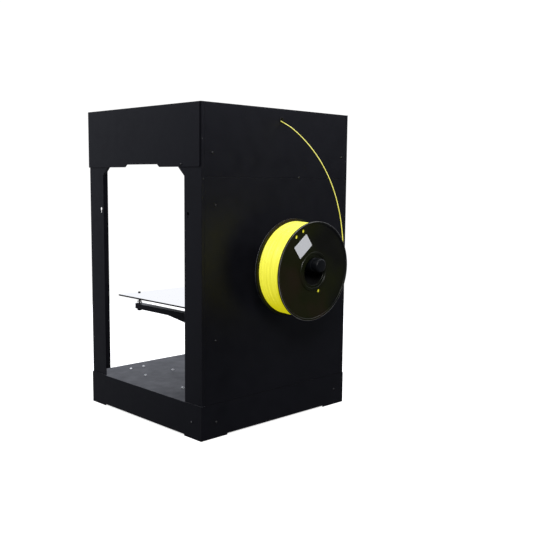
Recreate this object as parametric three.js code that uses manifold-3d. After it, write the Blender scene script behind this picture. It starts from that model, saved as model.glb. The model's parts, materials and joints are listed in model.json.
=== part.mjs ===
// Enclosed filament 3-D printer with the filament spool on its back.
// Millimetres, +Z up. The printer's front faces -Y and the spool is on the +Y side.
// Everything is drawn about the middle of the cabinet's footprint, with the floor at z = 0,
// and the whole group is then moved so that the origin is under the middle of its bounding box.

import * as THREE from 'three';
import { mergeVertices } from 'three/addons/utils/BufferGeometryUtils.js';
import Module from 'manifold-3d';

const wasm = await Module();
wasm.setup();

// ---------------------------------------------------------------- driving dimensions

const GAP = 0.3;                 // clearance between parts that rest on each other
const RUNNING = 0.5;             // clearance round a part that turns or slides through another
const SHEET = 1.5;               // sheet steel of the cabinet

const CABINET = { halfWidth: 214, halfDepth: 200, height: 664 };
const FOOT = { height: 3, alongX: 69, alongY: 55 };
const BASE_TOP = 70.5;
const HOOD = { bottom: 541, frontBottom: 556, sideRearEdge: 195.5, corner: 4 };
const HAND_NOTCH = { middleY: 5.5, halfBottom: 61, halfTop: 53.5, depth: 5.5 };
const SEAM = { height: 521.5, lap: 8, lapThickness: 1.2 };   // joint between the two rear panels

const FRAME = {
  outer: CABINET.halfWidth - SHEET - GAP,
  front: GAP + SHEET - CABINET.halfDepth,
  top: CABINET.height - SHEET - GAP,
  windowFront: -144.5,
  windowRear: 146,
  windowTop: 555,
  chamferStart: 523.5,
  chamferRun: 35,
  frontFlangeInner: 198,
  rearFlangeInner: 205,
  returnDepth: 12,
  returnBottom: 86,
  returnTop: 536,
  cornerReturnDepth: 6,
};
const KEYHOLE = { frontY: -154.2, rearY: 157.5, z: 450, radius: 3.5, slotHalf: 1.6, slotLength: 9 };

// Spool and its holder, in a frame whose Y axis is the shaft's, drooping away from the cabinet.
const SPOOL = {
  x: 21.4,
  z: 337,                        // height of the spool's centre in the outer flange's plane
  droopDeg: 3,
  outerFace: 119.3,              // distance from the rear panel to the outer flange's face
  width: 64.5,
  flangeRadius: 100,
  flangeThickness: 3.2,
  lipWidth: 4.5,
  lipProud: 0.9,
  boreRadius: 28,
  hubRadius: 40,
  hubWall: 2.5,
  collarInner: 34,
  collarOuter: 39.5,
  collarProud: 1.4,
  windingRadius: 95,
  holeRadius: 3.2,
  holes: [[89.5, 52.7], [89.5, 66.3], [44.2, 247]],   // distance and angle of each hole
};
const HOLDER = { shaftRadius: 13.7, plateHalfX: 24, plateHalfZ: 30, plateThickness: 2.5, stubLength: 14,
  stubRadius: 17, capLength: 19, neckRadius: 11.8, neckLength: 3.5, neckChamfer: 0.5, capRound: 3.2 };

const FILAMENT = { radius: 0.875, holeX: -2, holeZ: 640.4, steps: 78, sides: 8 };
const GROMMET = { radius: 4.6, bore: 1.9, throat: 4.6, mouth: 4.3, rimRadius: 6.6, rimThickness: 0.8,
  length: 6 };

// Build platform
const BED = { top: 249.3, thickness: 3.4, halfWidth: 156, front: -175, rear: 75 };
const HEATER = { inset: 14, thickness: 3 };
const ARM = { x: 103, halfWidth: 10, top: 223.5, bottom: 211.5, bendY: -43, rearBottom: 188, wall: 2 };
const LEVEL = { frontY: -168, rearY: 60, hole: 2, shank: 1.5, headRadius: 3.2, headHeight: 1.9,
  nutRadius: 5.2, nutHeight: 4.8, springFoot: 6.4 };

// Lift at the back of the chamber
const LIFT = { y: 150, rodX: 70, rodRadius: 6, rodTop: 588, screwRadius: 4, floorHole: 12, bracketBottom: 580,
  bracketThickness: 4, bracketHalfX: 95, bracketFront: 130 };
const CARRIAGE = { halfX: 114, front: 128, rear: 172, bottom: 186, top: 223.5 };
const MOTOR = { half: 21, length: 36 };
const COUPLER = { radius: 9.5, bottom: 73, top: 93 };
const BOSS_RADIUS = 11;          // register boss on a motor's face

// Gantry inside the hood
const GANTRY_Y = 20;             // where the gantry rests
const X_ROD = { halfPitch: 22, z: 600, radius: 4, halfLength: 182 };
const Y_ROD = { x: 186, z: 624, radius: 5 };
const RAIL = { bottom: 600, top: 640, thickness: 3, rear: 191, front: -196.4 };
const SLIDER = { inner: 172, outer: 197, bottom: 588, top: 638, front: -30, rear: 49, socketEnd: 184,
  plateInner: 138, plateThickness: 3, plateTop: 644, shaftHole: 3.5 };
const PULLEY = { groove: 8, flange: 10, flangeThickness: 0.9, shaft: 2.5, halfLength: 4.2 };
const BELT = { inner: 8.3, outer: 9.8, halfWidth: 3 };
const X_DRIVE = { halfSpan: 158, y: 40, z: 623 };
const Y_DRIVE = { x: 202.2, front: -172, rear: 165, z: 612, shaftRadius: 4 };

// Print head
const HEAD = { halfX: 30, halfY: 34, bottom: 588, top: 612, filamentHole: 2 };
const EXTRUDER = { motorInner: -10, motorOuter: -48, plate: 3, plateBehind: 12, plateAbove: 2, shaftHole: 4,
  shaftY: -7, z: 633.3, gearRadius: 6 };
const HOT_END = { sinkTop: 587.7, sinkBottom: 562.3, finRadius: 11, coreRadius: 6, fins: 4,
  blockTop: 562, blockBottom: 551, blockHalfX: 10, blockHalfY: 8, nozzleTip: 546 };

// Electronics in the base
const BAY_FLOOR = { bottom: 4, thickness: 1.5, gap: 0.5 };
const SUPPLY = { x: [-190, -30], y: [-70, 30], height: 42 };
const BOARD = {
  x: [10, 150],
  y: [-70, 25],
  bottom: 10,
  thickness: 1.6,
  // each chip's place, half width and height: four motor drivers, the processor and a regulator
  chips: [
    [32, -50, 8, 12], [56, -50, 8, 12], [80, -50, 8, 12], [104, -50, 8, 12],
    [80, -10, 12, 3], [130, 5, 7, 9],
  ],
};
const DISPLAY = { x: [-58, 18], z: [20, 54], depth: 9 };
const KNOB = { x: 62, z: 37, radius: 11, length: 13, round: 1.5, shaft: 3, shaftLength: 10, hole: 3.6 };
const INLET = { y: [112, 186], z: [20, 48], depth: 24, socketY: [117, 145],
  rockerY: [154, 180] };
const ROCKER = { pivotX: -CABINET.halfWidth + 8.6, restDeg: 7, clear: 1.4, depth: 13, proud: 7, dip: 1.2,
  taper: 3, inset: 4 };

// ---------------------------------------------------------------- finishes

const FINISH = {
  powderCoat: { color: 0x17171a, roughness: 0.5, metalness: 0.1 },
  innerSteel: { color: 0x1c1c20, roughness: 0.45, metalness: 0.2 },
  smokedPlastic: { color: 0x101210, roughness: 0.15, metalness: 0 },
  hubPlastic: { color: 0x121212, roughness: 0.4, metalness: 0 },
  filament: { color: 0xd9f20a, roughness: 0.35, metalness: 0 },
  gripRubber: { color: 0x0c0d10, roughness: 0.3, metalness: 0 },
  steelRod: { color: 0xb9bcc2, roughness: 0.2, metalness: 1 },
  motorBlack: { color: 0x1a1a1b, roughness: 0.5, metalness: 0.3 },
  aluminium: { color: 0xa9acb1, roughness: 0.35, metalness: 1 },
  mirrorPlate: { color: 0xdfe3e6, roughness: 0.05, metalness: 0.9 },
  brass: { color: 0xc09a3e, roughness: 0.3, metalness: 1 },
  belt: { color: 0x141414, roughness: 0.8, metalness: 0 },
  circuitBoard: { color: 0x12502e, roughness: 0.5, metalness: 0 },
  display: { color: 0x0a1420, roughness: 0.1, metalness: 0 },
  darkPlastic: { color: 0x151517, roughness: 0.4, metalness: 0 },
};

// ---------------------------------------------------------------- geometry helpers

const ROUND = 16;                // sides of a small cylinder
const FINE = 40;                 // sides of a large one
const SMALL = 12;                // sides of pulleys, screws and other small turned parts

function positionsOnly(geometry) {
  const copy = geometry.clone();
  copy.deleteAttribute('normal');
  copy.deleteAttribute('uv');
  return mergeVertices(copy, 1e-4);
}

function signedVolume(geometry) {
  const p = geometry.attributes.position;
  const index = geometry.index.array;
  const [a, b, c] = [new THREE.Vector3(), new THREE.Vector3(), new THREE.Vector3()];
  let sum = 0;
  for (let i = 0; i < index.length; i += 3) {
    a.fromBufferAttribute(p, index[i]);
    b.fromBufferAttribute(p, index[i + 1]);
    c.fromBufferAttribute(p, index[i + 2]);
    sum += a.dot(b.cross(c)) / 6;
  }
  return sum;
}

// The same closed surface with shared vertices and its faces pointing out.
function closed(geometry) {
  const merged = positionsOnly(geometry);
  if (signedVolume(merged) < 0) {
    const index = merged.index.array;
    for (let i = 0; i < index.length; i += 3) {
      [index[i], index[i + 1]] = [index[i + 1], index[i]];
    }
  }
  return merged;
}

function toSolid(geometry) {
  const merged = closed(geometry);
  return new wasm.Manifold(new wasm.Mesh({
    numProp: 3,
    vertProperties: new Float32Array(merged.attributes.position.array),
    triVerts: new Uint32Array(merged.index.array),
  }));
}

function toGeometry(solid) {
  const mesh = solid.getMesh();
  const geometry = new THREE.BufferGeometry();
  geometry.setAttribute('position', new THREE.BufferAttribute(mesh.vertProperties, 3));
  geometry.setIndex(new THREE.BufferAttribute(mesh.triVerts, 1));
  return geometry;
}

function join(...pieces) {
  return toGeometry(pieces.map(toSolid).reduce((sum, piece) => sum.add(piece)));
}

function cut(piece, ...cutters) {
  return toGeometry(cutters.map(toSolid).reduce((rest, cutter) => rest.subtract(cutter), toSolid(piece)));
}

function common(first, second) {
  return toGeometry(toSolid(first).intersect(toSolid(second)));
}

// A box between two limits on each axis.
function block([x0, x1], [y0, y1], [z0, z1]) {
  const geometry = new THREE.BoxGeometry(Math.abs(x1 - x0), Math.abs(y1 - y0), Math.abs(z1 - z0));
  return geometry.translate((x0 + x1) / 2, (y0 + y1) / 2, (z0 + z1) / 2);
}

// Turn a geometry built along Z so that it runs along X or Y, keeping its section upright:
// a section drawn in (u, v) lands in (y, z) along X, in (x, z) along -Y, and in (x, y) along Z.
function turned(geometry, axis) {
  const basis = new THREE.Matrix4();
  const [X, Y, Z] = [new THREE.Vector3(1, 0, 0), new THREE.Vector3(0, 1, 0), new THREE.Vector3(0, 0, 1)];
  if (axis === 'x') basis.makeBasis(Y, Z, X);
  if (axis === 'y') basis.makeBasis(X, Z, Y.clone().negate());
  return geometry.applyMatrix4(basis);
}

// A flat shape pushed from one limit to another along an axis.
function prism(shape, axis, [from, to], curveSegments = 6) {
  const geometry = new THREE.ExtrudeGeometry(shape, { depth: to - from, bevelEnabled: false, curveSegments });
  turned(geometry, axis);
  const shift = { x: [from, 0, 0], y: [0, to, 0], z: [0, 0, from] }[axis];
  return geometry.translate(...shift);
}

// A round bar between two limits along an axis, through the point (u, v) of the other two axes.
function rod(axis, radius, [from, to], [u, v], sides = ROUND) {
  const geometry = new THREE.CylinderGeometry(radius, radius, to - from, sides);
  const middle = (from + to) / 2;
  if (axis === 'x') return geometry.rotateZ(Math.PI / 2).translate(middle, u, v);
  if (axis === 'y') return geometry.translate(u, middle, v);
  return geometry.rotateX(Math.PI / 2).translate(u, v, middle);
}

// A turned part: the profile is a list of [radius, distance along the axis].
function turning(profile, axis, [u, v], sides = ROUND) {
  const points = profile.map(([radius, along]) => new THREE.Vector2(radius, along));
  const geometry = new THREE.LatheGeometry(points, sides);
  if (axis === 'x') return geometry.rotateZ(-Math.PI / 2).translate(0, u, v);
  if (axis === 'y') return geometry.translate(u, 0, v);
  return geometry.rotateX(Math.PI / 2).translate(u, v, 0);
}

function outline(points) {
  return new THREE.Shape(points.map(([u, v]) => new THREE.Vector2(u, v)));
}

function rectangle([u0, u1], [v0, v1]) {
  return outline([[u0, v0], [u1, v0], [u1, v1], [u0, v1]]);
}

function roundHole(u, v, radius) {
  return new THREE.Path().absarc(u, v, radius, 0, Math.PI * 2, true);
}

function mirroredX(geometry) {
  return closed(geometry.clone().scale(-1, 1, 1));
}

// ---------------------------------------------------------------- assembly

const printer = new THREE.Group();

function add(name, geometry, finish, parent = printer) {
  const material = new THREE.MeshStandardMaterial(FINISH[finish]);
  const mesh = new THREE.Mesh(closed(geometry), material);
  mesh.name = name;
  parent.add(mesh);
}

// ---------------------------------------------------------------- cabinet

// Inverted steel tray: the chamber floor and the skirt, whose corners reach down as feet.
function baseTray() {
  const { halfWidth: w, halfDepth: d } = CABINET;
  const footEndX = w - FOOT.alongX;
  const footEndY = d - FOOT.alongY;
  const underFloor = BASE_TOP - SHEET;
  const below = [-1, FOOT.height];
  const frontWall = [-d - 1, -d + SHEET + 1];
  const leftWall = [-w - 1, -w + SHEET + 1];
  return cut(
    block([-w, w], [-d, d], [0, BASE_TOP]),
    block([-w + SHEET, w - SHEET], [-d + SHEET, d - SHEET], [-1, underFloor]),
    block([-footEndX, footEndX], [-d - 1, d + 1], below),
    block([-w - 1, w + 1], [-footEndY, footEndY], below),
    rod('z', LIFT.floorHole, [underFloor - 1, BASE_TOP + 1], [0, LIFT.y]),
    block(DISPLAY.x, frontWall, DISPLAY.z),
    rod('y', KNOB.hole, frontWall, [KNOB.x, KNOB.z]),
    block(leftWall, INLET.y, INLET.z),
  );
}

// Closing sheet under the electronics, with cooling slots.
function basePlate() {
  const x = CABINET.halfWidth - SHEET - BAY_FLOOR.gap;
  const y = CABINET.halfDepth - SHEET - BAY_FLOOR.gap;
  const slot = { count: 9, pitch: 14, halfWidth: 2.5, from: -170, to: -110 };
  const through = [BAY_FLOOR.bottom - 1, BAY_FLOOR.bottom + BAY_FLOOR.thickness + 1];
  const slots = [];
  for (let i = 0; i < slot.count; i += 1) {
    const u = (i - (slot.count - 1) / 2) * slot.pitch;
    slots.push(block([u - slot.halfWidth, u + slot.halfWidth], [slot.from, slot.to], through));
  }
  return cut(block([-x, x], [-y, y], [BAY_FLOOR.bottom, BAY_FLOOR.bottom + BAY_FLOOR.thickness]), ...slots);
}

function keyhole(y) {
  const { z, radius, slotHalf, slotLength } = KEYHOLE;
  const shoulder = Math.acos(slotHalf / radius);
  const path = new THREE.Path();
  path.moveTo(y - slotHalf, z - slotLength);
  path.lineTo(y + slotHalf, z - slotLength);
  path.absarc(y, z, radius, -shoulder, Math.PI + shoulder, false);
  path.closePath();
  return path;
}

// Section of the return along a slanted upper corner of the window.
function cornerReturn(y, run) {
  const { chamferStart: low, windowTop: high } = FRAME;
  const thickness = SHEET * Math.hypot(run, high - low) / Math.abs(run);
  return outline([[y, low], [y + run, high], [y + run, high + thickness], [y, low + thickness]]);
}

// Side frame: a sheet portal around the window, folded round the front and the back,
// with a return along each window post and a shallower one along the slanted corners.
function sideFrame() {
  const f = FRAME;
  const bottom = BASE_TOP + GAP;
  const skin = [f.outer - SHEET, f.outer];
  const portal = outline([
    [f.front, bottom],
    [f.front, f.top],
    [CABINET.halfDepth, f.top],
    [CABINET.halfDepth, bottom],
    [f.windowRear, bottom],
    [f.windowRear, f.chamferStart],
    [f.windowRear - f.chamferRun, f.windowTop],
    [f.windowFront + f.chamferRun, f.windowTop],
    [f.windowFront, f.chamferStart],
    [f.windowFront, bottom],
  ]);
  portal.holes.push(keyhole(KEYHOLE.frontY), keyhole(KEYHOLE.rearY));
  const returnX = [f.outer - f.returnDepth, f.outer];
  const returnZ = [f.returnBottom, f.returnTop];
  const cornerX = [f.outer - f.cornerReturnDepth, f.outer];
  return join(
    prism(portal, 'x', skin, 6),
    block([f.frontFlangeInner, f.outer], [f.front, f.front + SHEET], [bottom, f.top]),
    block([f.rearFlangeInner, f.outer], [CABINET.halfDepth - SHEET, CABINET.halfDepth], [bottom, f.top]),
    block(returnX, [f.windowFront - SHEET, f.windowFront], returnZ),
    block(returnX, [f.windowRear, f.windowRear + SHEET], returnZ),
    prism(cornerReturn(f.windowFront, f.chamferRun), 'x', cornerX),
    prism(cornerReturn(f.windowRear, -f.chamferRun), 'x', cornerX),
  );
}

const REAR_PANEL_X = [GAP - FRAME.rearFlangeInner, FRAME.rearFlangeInner - GAP];

function rearPanel(zRange) {
  return block(REAR_PANEL_X, [CABINET.halfDepth - SHEET, CABINET.halfDepth], zRange);
}

// Upper rear panel, with the filament's hole and the strip that laps behind the panel below.
function upperRearPanel(top) {
  const bottom = SEAM.height + GAP;
  const lapFace = CABINET.halfDepth - SHEET - GAP;
  const lap = [lapFace - SEAM.lapThickness, lapFace];
  const joined = [lapFace - SEAM.lapThickness, CABINET.halfDepth - SHEET];
  return cut(
    join(
      rearPanel([bottom, top]),
      block(REAR_PANEL_X, lap, [SEAM.height - SEAM.lap, bottom + SEAM.lap]),
      block(REAR_PANEL_X, joined, [bottom, bottom + SEAM.lap]),
    ),
    rod('y', GROMMET.radius + GAP, [lap[0] - 1, CABINET.halfDepth + 1], [FILAMENT.holeX, FILAMENT.holeZ]),
  );
}

// Hood: top, front and two sides; the sides stop short of the rear corner and have a
// hand notch in their lower edge.
function hood() {
  const { halfWidth: w, halfDepth: d, height } = CABINET;
  const { bottom, sideRearEdge: rear, corner } = HOOD;
  const n = HAND_NOTCH;
  const side = new THREE.Shape();
  side.moveTo(-d, bottom);
  side.lineTo(n.middleY - n.halfBottom, bottom);
  side.lineTo(n.middleY - n.halfTop, bottom + n.depth);
  side.lineTo(n.middleY + n.halfTop, bottom + n.depth);
  side.lineTo(n.middleY + n.halfBottom, bottom);
  side.lineTo(rear - corner, bottom);
  side.absarc(rear - corner, bottom + corner, corner, -Math.PI / 2, 0, false);
  side.lineTo(rear, height);
  side.lineTo(-d, height);
  side.closePath();
  return join(
    block([-w, w], [-d, d], [height - SHEET, height]),
    block([-w, w], [-d, -d + SHEET], [HOOD.frontBottom, height]),
    prism(side, 'x', [w - SHEET, w], 4),
    prism(side, 'x', [-w, -w + SHEET], 4),
  );
}

function cabinet() {
  const baseSeam = BASE_TOP + GAP;
  add('base_tray', baseTray(), 'powderCoat');
  add('base_plate', basePlate(), 'innerSteel');
  add('side_frame_right', sideFrame(), 'powderCoat');
  add('side_frame_left', mirroredX(sideFrame()), 'powderCoat');
  add('rear_panel_lower', rearPanel([baseSeam, SEAM.height]), 'powderCoat');
  add('rear_panel_upper', upperRearPanel(FRAME.top), 'powderCoat');
  add('hood', hood(), 'powderCoat');
}

// ---------------------------------------------------------------- spool and filament

// Rim profile of a flange lying between two distances, with its lip and collar on the outer face.
function flange(inside, outside) {
  const s = SPOOL;
  const out = Math.sign(outside - inside);
  const lip = outside + out * s.lipProud;
  const collar = outside + out * s.collarProud;
  const profile = [
    [s.boreRadius, inside],
    [s.flangeRadius, inside],
    [s.flangeRadius, lip],
    [s.flangeRadius - s.lipWidth, lip],
    [s.flangeRadius - s.lipWidth, outside],
    [s.collarOuter, outside],
    [s.collarOuter, collar],
    [s.collarInner, collar],
    [s.collarInner, outside],
    [s.boreRadius, outside],
    [s.boreRadius, inside],
  ];
  const body = turning(profile, 'y', [0, 0], FINE);
  const through = [Math.min(inside, collar) - 1, Math.max(inside, collar) + 1];
  const drills = s.holes.map(([distance, degrees]) => {
    const angle = THREE.MathUtils.degToRad(degrees);
    const place = [distance * Math.cos(angle), distance * Math.sin(angle)];
    return rod('y', s.holeRadius, through, place, SMALL);
  });
  return cut(body, ...drills);
}

// Hub: the core that carries the filament and the bore that runs on the shaft, joined by a web.
function hub(from, to) {
  const s = SPOOL;
  const web = 1.5;
  const middle = (from + to) / 2;
  const core = s.hubRadius - s.hubWall;
  const bore = s.boreRadius + s.hubWall;
  return turning([
    [s.boreRadius, from], [bore, from], [bore, middle - web], [core, middle - web], [core, from],
    [s.hubRadius, from], [s.hubRadius, to], [core, to], [core, middle + web], [bore, middle + web],
    [bore, to], [s.boreRadius, to], [s.boreRadius, from],
  ], 'y', [0, 0], FINE);
}

function winding(from, to) {
  const s = SPOOL;
  const shoulder = 1.2;
  const inner = s.hubRadius + GAP;
  return turning([
    [inner, from], [s.windingRadius - shoulder, from], [s.windingRadius, from + shoulder],
    [s.windingRadius, to - shoulder], [s.windingRadius - shoulder, to], [inner, to], [inner, from],
  ], 'y', [0, 0], FINE);
}

// The shaft's axis stands above the spool's, because the spool hangs on the top of the shaft.
const SHAFT_RISE = SPOOL.boreRadius - HOLDER.shaftRadius - GAP;

// Shaft with a neck and a rounded grip beyond the outer flange.
function spoolShaft() {
  const h = HOLDER;
  const start = h.stubLength + GAP;
  const neck = SPOOL.outerFace + SPOOL.lipProud;
  const end = SPOOL.outerFace + h.capLength;
  const arc = [0, 30, 60, 90].map((degrees) => {
    const angle = THREE.MathUtils.degToRad(degrees);
    const radius = h.shaftRadius - h.capRound + h.capRound * Math.cos(angle);
    return [radius, end - h.capRound + h.capRound * Math.sin(angle)];
  });
  return turning([
    [0, start], [h.shaftRadius, start], [h.shaftRadius, neck],
    [h.neckRadius, neck + h.neckChamfer],
    [h.neckRadius, neck + h.neckLength], [h.shaftRadius, neck + h.neckLength + 1],
    ...arc, [0, end],
  ], 'y', [0, SHAFT_RISE], 32);
}

// Flat plate screwed to the rear panel, with the drooping stub that carries the shaft.
function holderBracket(toCabinet) {
  const h = HOLDER;
  const face = CABINET.halfDepth + GAP;
  const stub = rod('y', h.stubRadius, [0, h.stubLength], [0, SHAFT_RISE], FINE).applyMatrix4(toCabinet);
  const seat = SPOOL.z + SPOOL.outerFace * Math.tan(THREE.MathUtils.degToRad(SPOOL.droopDeg)) + SHAFT_RISE;
  const plate = block(
    [SPOOL.x - h.plateHalfX, SPOOL.x + h.plateHalfX],
    [face, face + h.plateThickness],
    [seat - h.plateHalfZ, seat + h.plateHalfZ],
  );
  const behind = block([-CABINET.halfWidth, CABINET.halfWidth], [0, face], [0, CABINET.height]);
  return cut(join(plate, stub), behind);
}

// Route of the strand, picked point by point: through the rear panel, out and down in one
// bow, to where it leaves the winding.
const STRAND_ROUTE = [
  [-2, 194, 640.3], [-2, 197.5, 639], [-2, 201, 637.3], [-2.1, 206, 635.2], [-2.3, 214, 631.4],
  [-3, 225, 625.8], [-4.6, 236, 618.1], [-7, 246.5, 609.6], [-10.5, 256, 600.2], [-14.5, 264.8, 590.2],
  [-19.2, 272.6, 579.4],
  [-24.2, 279.8, 567.7], [-29.6, 286.2, 555], [-35.1, 291.9, 541.3], [-40.7, 296.9, 526.7],
  [-46.3, 301.2, 510.9], [-51.7, 304.8, 493.9], [-56.7, 307.8, 475.7], [-61.4, 310.1, 456.2],
  [-65.6, 311.7, 435.4], [-69.2, 312.7, 413.1], [-72.1, 313, 389.3], [-74.1, 312.8, 364],
  [-74.9, 312.4, 337],
];

function filamentStrand() {
  const route = new THREE.CatmullRomCurve3(STRAND_ROUTE.map((point) => new THREE.Vector3(...point)));
  const section = new THREE.Shape().absarc(0, 0, FILAMENT.radius, 0, Math.PI * 2, false);
  return new THREE.ExtrudeGeometry(section, {
    steps: FILAMENT.steps,
    curveSegments: FILAMENT.sides / 2,
    extrudePath: route,
    bevelEnabled: false,
  });
}

// Bush in the rear panel whose mouth widens outwards, so that the strand bends over its lip.
function grommet() {
  const { radius, bore, throat, mouth, rimRadius, rimThickness, length } = GROMMET;
  const face = CABINET.halfDepth + GAP;
  return turning([
    [bore, face - length], [radius, face - length], [radius, face], [rimRadius, face],
    [rimRadius, face + rimThickness], [mouth, face + rimThickness],
    [bore, face - throat], [bore, face - length],
  ], 'y', [FILAMENT.holeX, FILAMENT.holeZ], ROUND);
}

function spoolAndHolder() {
  const droop = THREE.MathUtils.degToRad(SPOOL.droopDeg);
  const tilted = new THREE.Group();
  const rise = SPOOL.outerFace * Math.sin(droop);
  tilted.position.set(SPOOL.x, CABINET.halfDepth, SPOOL.z + rise);
  tilted.rotation.x = -droop;
  tilted.updateMatrix();
  const outside = SPOOL.outerFace;
  const inside = outside - SPOOL.width;
  const t = SPOOL.flangeThickness;
  const hubEnds = [inside + t + GAP, outside - t - GAP];
  add('spool_flange_outer', flange(outside - t, outside), 'smokedPlastic', tilted);
  add('spool_flange_inner', flange(inside + t, inside), 'smokedPlastic', tilted);
  add('spool_hub', hub(...hubEnds), 'hubPlastic', tilted);
  add('filament_winding', winding(...hubEnds), 'filament', tilted);
  add('spool_shaft', spoolShaft(), 'gripRubber', tilted);
  add('spool_bracket', holderBracket(tilted.matrix), 'powderCoat');
  add('filament_guide', grommet(), 'darkPlastic');
  add('filament_strand', filamentStrand(), 'filament');
  printer.add(tilted);
}

// ---------------------------------------------------------------- build platform and lift

// Cantilever arm: a channel open below, deeper towards the back, rounded round its front screw.
function bedArm() {
  const a = ARM;
  const back = CARRIAGE.front - GAP;
  const tip = LEVEL.frontY - a.halfWidth;
  const profile = (wall) => outline([
    [tip - 1, a.bottom - wall],
    [a.bendY, a.bottom - wall],
    [back + wall, a.rearBottom - wall],
    [back + wall, a.top - wall],
    [tip - 1, a.top - wall],
  ]);
  const plan = (inset) => {
    const shape = new THREE.Shape();
    const half = a.halfWidth - inset;
    shape.moveTo(a.x + half, back + 1);
    shape.lineTo(a.x - half, back + 1);
    shape.lineTo(a.x - half, LEVEL.frontY);
    shape.absarc(a.x, LEVEL.frontY, half, Math.PI, Math.PI * 2, false);
    shape.closePath();
    return prism(shape, 'z', [a.rearBottom - 5, a.top + 1], 10);
  };
  const width = [a.x - a.halfWidth - 1, a.x + a.halfWidth + 1];
  const outer = common(prism(profile(0), 'x', width), plan(0));
  const hollow = common(prism(profile(a.wall), 'x', width), plan(a.wall));
  const drills = [LEVEL.frontY, LEVEL.rearY].map((y) => (
    rod('z', LEVEL.hole, [a.rearBottom, a.top + 1], [a.x, y], SMALL)
  ));
  const beyond = block(width, [back, back + 10], [a.rearBottom - 10, a.top + 2]);
  return cut(outer, hollow, beyond, ...drills);
}

const CORNERS = [
  ['front_right', 1, LEVEL.frontY],
  ['front_left', -1, LEVEL.frontY],
  ['rear_right', 1, LEVEL.rearY],
  ['rear_left', -1, LEVEL.rearY],
];

// Thumb screw with its nut under the arm and its head on the bed plate.
function levelScrew(x, y, armBottom) {
  const l = LEVEL;
  const nutTop = armBottom - GAP;
  const nutBottom = nutTop - l.nutHeight;
  const headBottom = BED.top + GAP;
  return turning([
    [0, nutBottom], [l.nutRadius, nutBottom], [l.nutRadius, nutTop], [l.shank, nutTop],
    [l.shank, headBottom], [l.headRadius, headBottom], [l.headRadius, headBottom + l.headHeight / 2],
    [l.headRadius / 2, headBottom + l.headHeight], [0, headBottom + l.headHeight],
  ], 'z', [x, y], SMALL);
}

// Height of an arm's lower edge where a levelling screw passes it.
function armBottomAt(y) {
  const { bendY, bottom, rearBottom } = ARM;
  if (y <= bendY) return bottom;
  const behindNut = y + LEVEL.nutRadius;
  return bottom + ((rearBottom - bottom) * (behindNut - bendY)) / (CARRIAGE.front - GAP - bendY);
}

function bedPlate() {
  const plate = rectangle([-BED.halfWidth, BED.halfWidth], [BED.front, BED.rear]);
  CORNERS.forEach(([, side, y]) => plate.holes.push(roundHole(side * ARM.x, y, LEVEL.hole)));
  return prism(plate, 'z', [BED.top - BED.thickness, BED.top], 6);
}

// Heating mat under the plate, cut back round the levelling springs.
function bedHeater() {
  const top = BED.top - BED.thickness - GAP;
  const inset = HEATER.inset;
  const half = ARM.x - LEVEL.springFoot - inset / 2;
  const y = [LEVEL.frontY + inset, LEVEL.rearY - inset];
  const wings = BED.halfWidth - inset;
  return join(
    block([-half, half], [BED.front + inset, BED.rear - inset / 2], [top - HEATER.thickness, top]),
    block([-wings, wings], y, [top - HEATER.thickness, top]),
  );
}

function zCarriage() {
  const c = CARRIAGE;
  const body = rectangle([-c.halfX, c.halfX], [c.front, c.rear]);
  [-1, 1].forEach((side) => body.holes.push(roundHole(side * LIFT.rodX, LIFT.y, LIFT.rodRadius + GAP)));
  body.holes.push(roundHole(0, LIFT.y, LIFT.screwRadius + RUNNING));
  return prism(body, 'z', [c.bottom, c.top], 10);
}

function liftBracket() {
  const l = LIFT;
  const rear = CABINET.halfDepth - SHEET - GAP;
  const plate = rectangle([-l.bracketHalfX, l.bracketHalfX], [l.bracketFront, rear]);
  [-1, 1].forEach((side) => plate.holes.push(roundHole(side * l.rodX, l.y, l.rodRadius + GAP)));
  plate.holes.push(roundHole(0, l.y, l.screwRadius + GAP));
  return prism(plate, 'z', [l.bracketBottom, l.bracketBottom + l.bracketThickness], 10);
}

function liftMotor() {
  const top = BASE_TOP - SHEET - GAP;
  const m = MOTOR.half;
  const body = block([-m, m], [LIFT.y - m, LIFT.y + m], [top - MOTOR.length, top]);
  return join(body, rod('z', BOSS_RADIUS, [top - 1, COUPLER.bottom - GAP], [0, LIFT.y]));
}

// Lead screw standing in its coupler on the motor.
function liftScrew() {
  return turning([
    [0, COUPLER.bottom], [COUPLER.radius, COUPLER.bottom], [COUPLER.radius, COUPLER.top],
    [LIFT.screwRadius, COUPLER.top], [LIFT.screwRadius, LIFT.rodTop], [0, LIFT.rodTop],
  ], 'z', [0, LIFT.y]);
}

function platform() {
  add('z_carriage', zCarriage(), 'aluminium');
  [['right', 1], ['left', -1]].forEach(([name, side]) => {
    const place = [side * LIFT.rodX, LIFT.y];
    add(`z_rod_${name}`, rod('z', LIFT.rodRadius, [BASE_TOP + GAP, LIFT.rodTop], place), 'steelRod');
    add(`bed_arm_${name}`, side > 0 ? bedArm() : mirroredX(bedArm()), 'innerSteel');
  });
  add('bed_plate', bedPlate(), 'mirrorPlate');
  add('bed_heater', bedHeater(), 'darkPlastic');
  CORNERS.forEach(([name, side, y]) => {
    add(`level_screw_${name}`, levelScrew(side * ARM.x, y, armBottomAt(y)), 'steelRod');
  });
  add('z_bracket', liftBracket(), 'innerSteel');
  add('z_motor', liftMotor(), 'motorBlack');
  add('z_screw', liftScrew(), 'steelRod');
}

// ---------------------------------------------------------------- gantry

// A belt loop round two pulleys, drawn in the plane of its section.
function beltLoop([from, to], level) {
  const loop = (radius, path) => {
    path.absarc(to, level, radius, -Math.PI / 2, Math.PI / 2, false);
    path.absarc(from, level, radius, Math.PI / 2, (Math.PI * 3) / 2, false);
    path.closePath();
    return path;
  };
  const shape = loop(BELT.outer, new THREE.Shape());
  shape.holes.push(loop(BELT.inner, new THREE.Path()));
  return shape;
}

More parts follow.
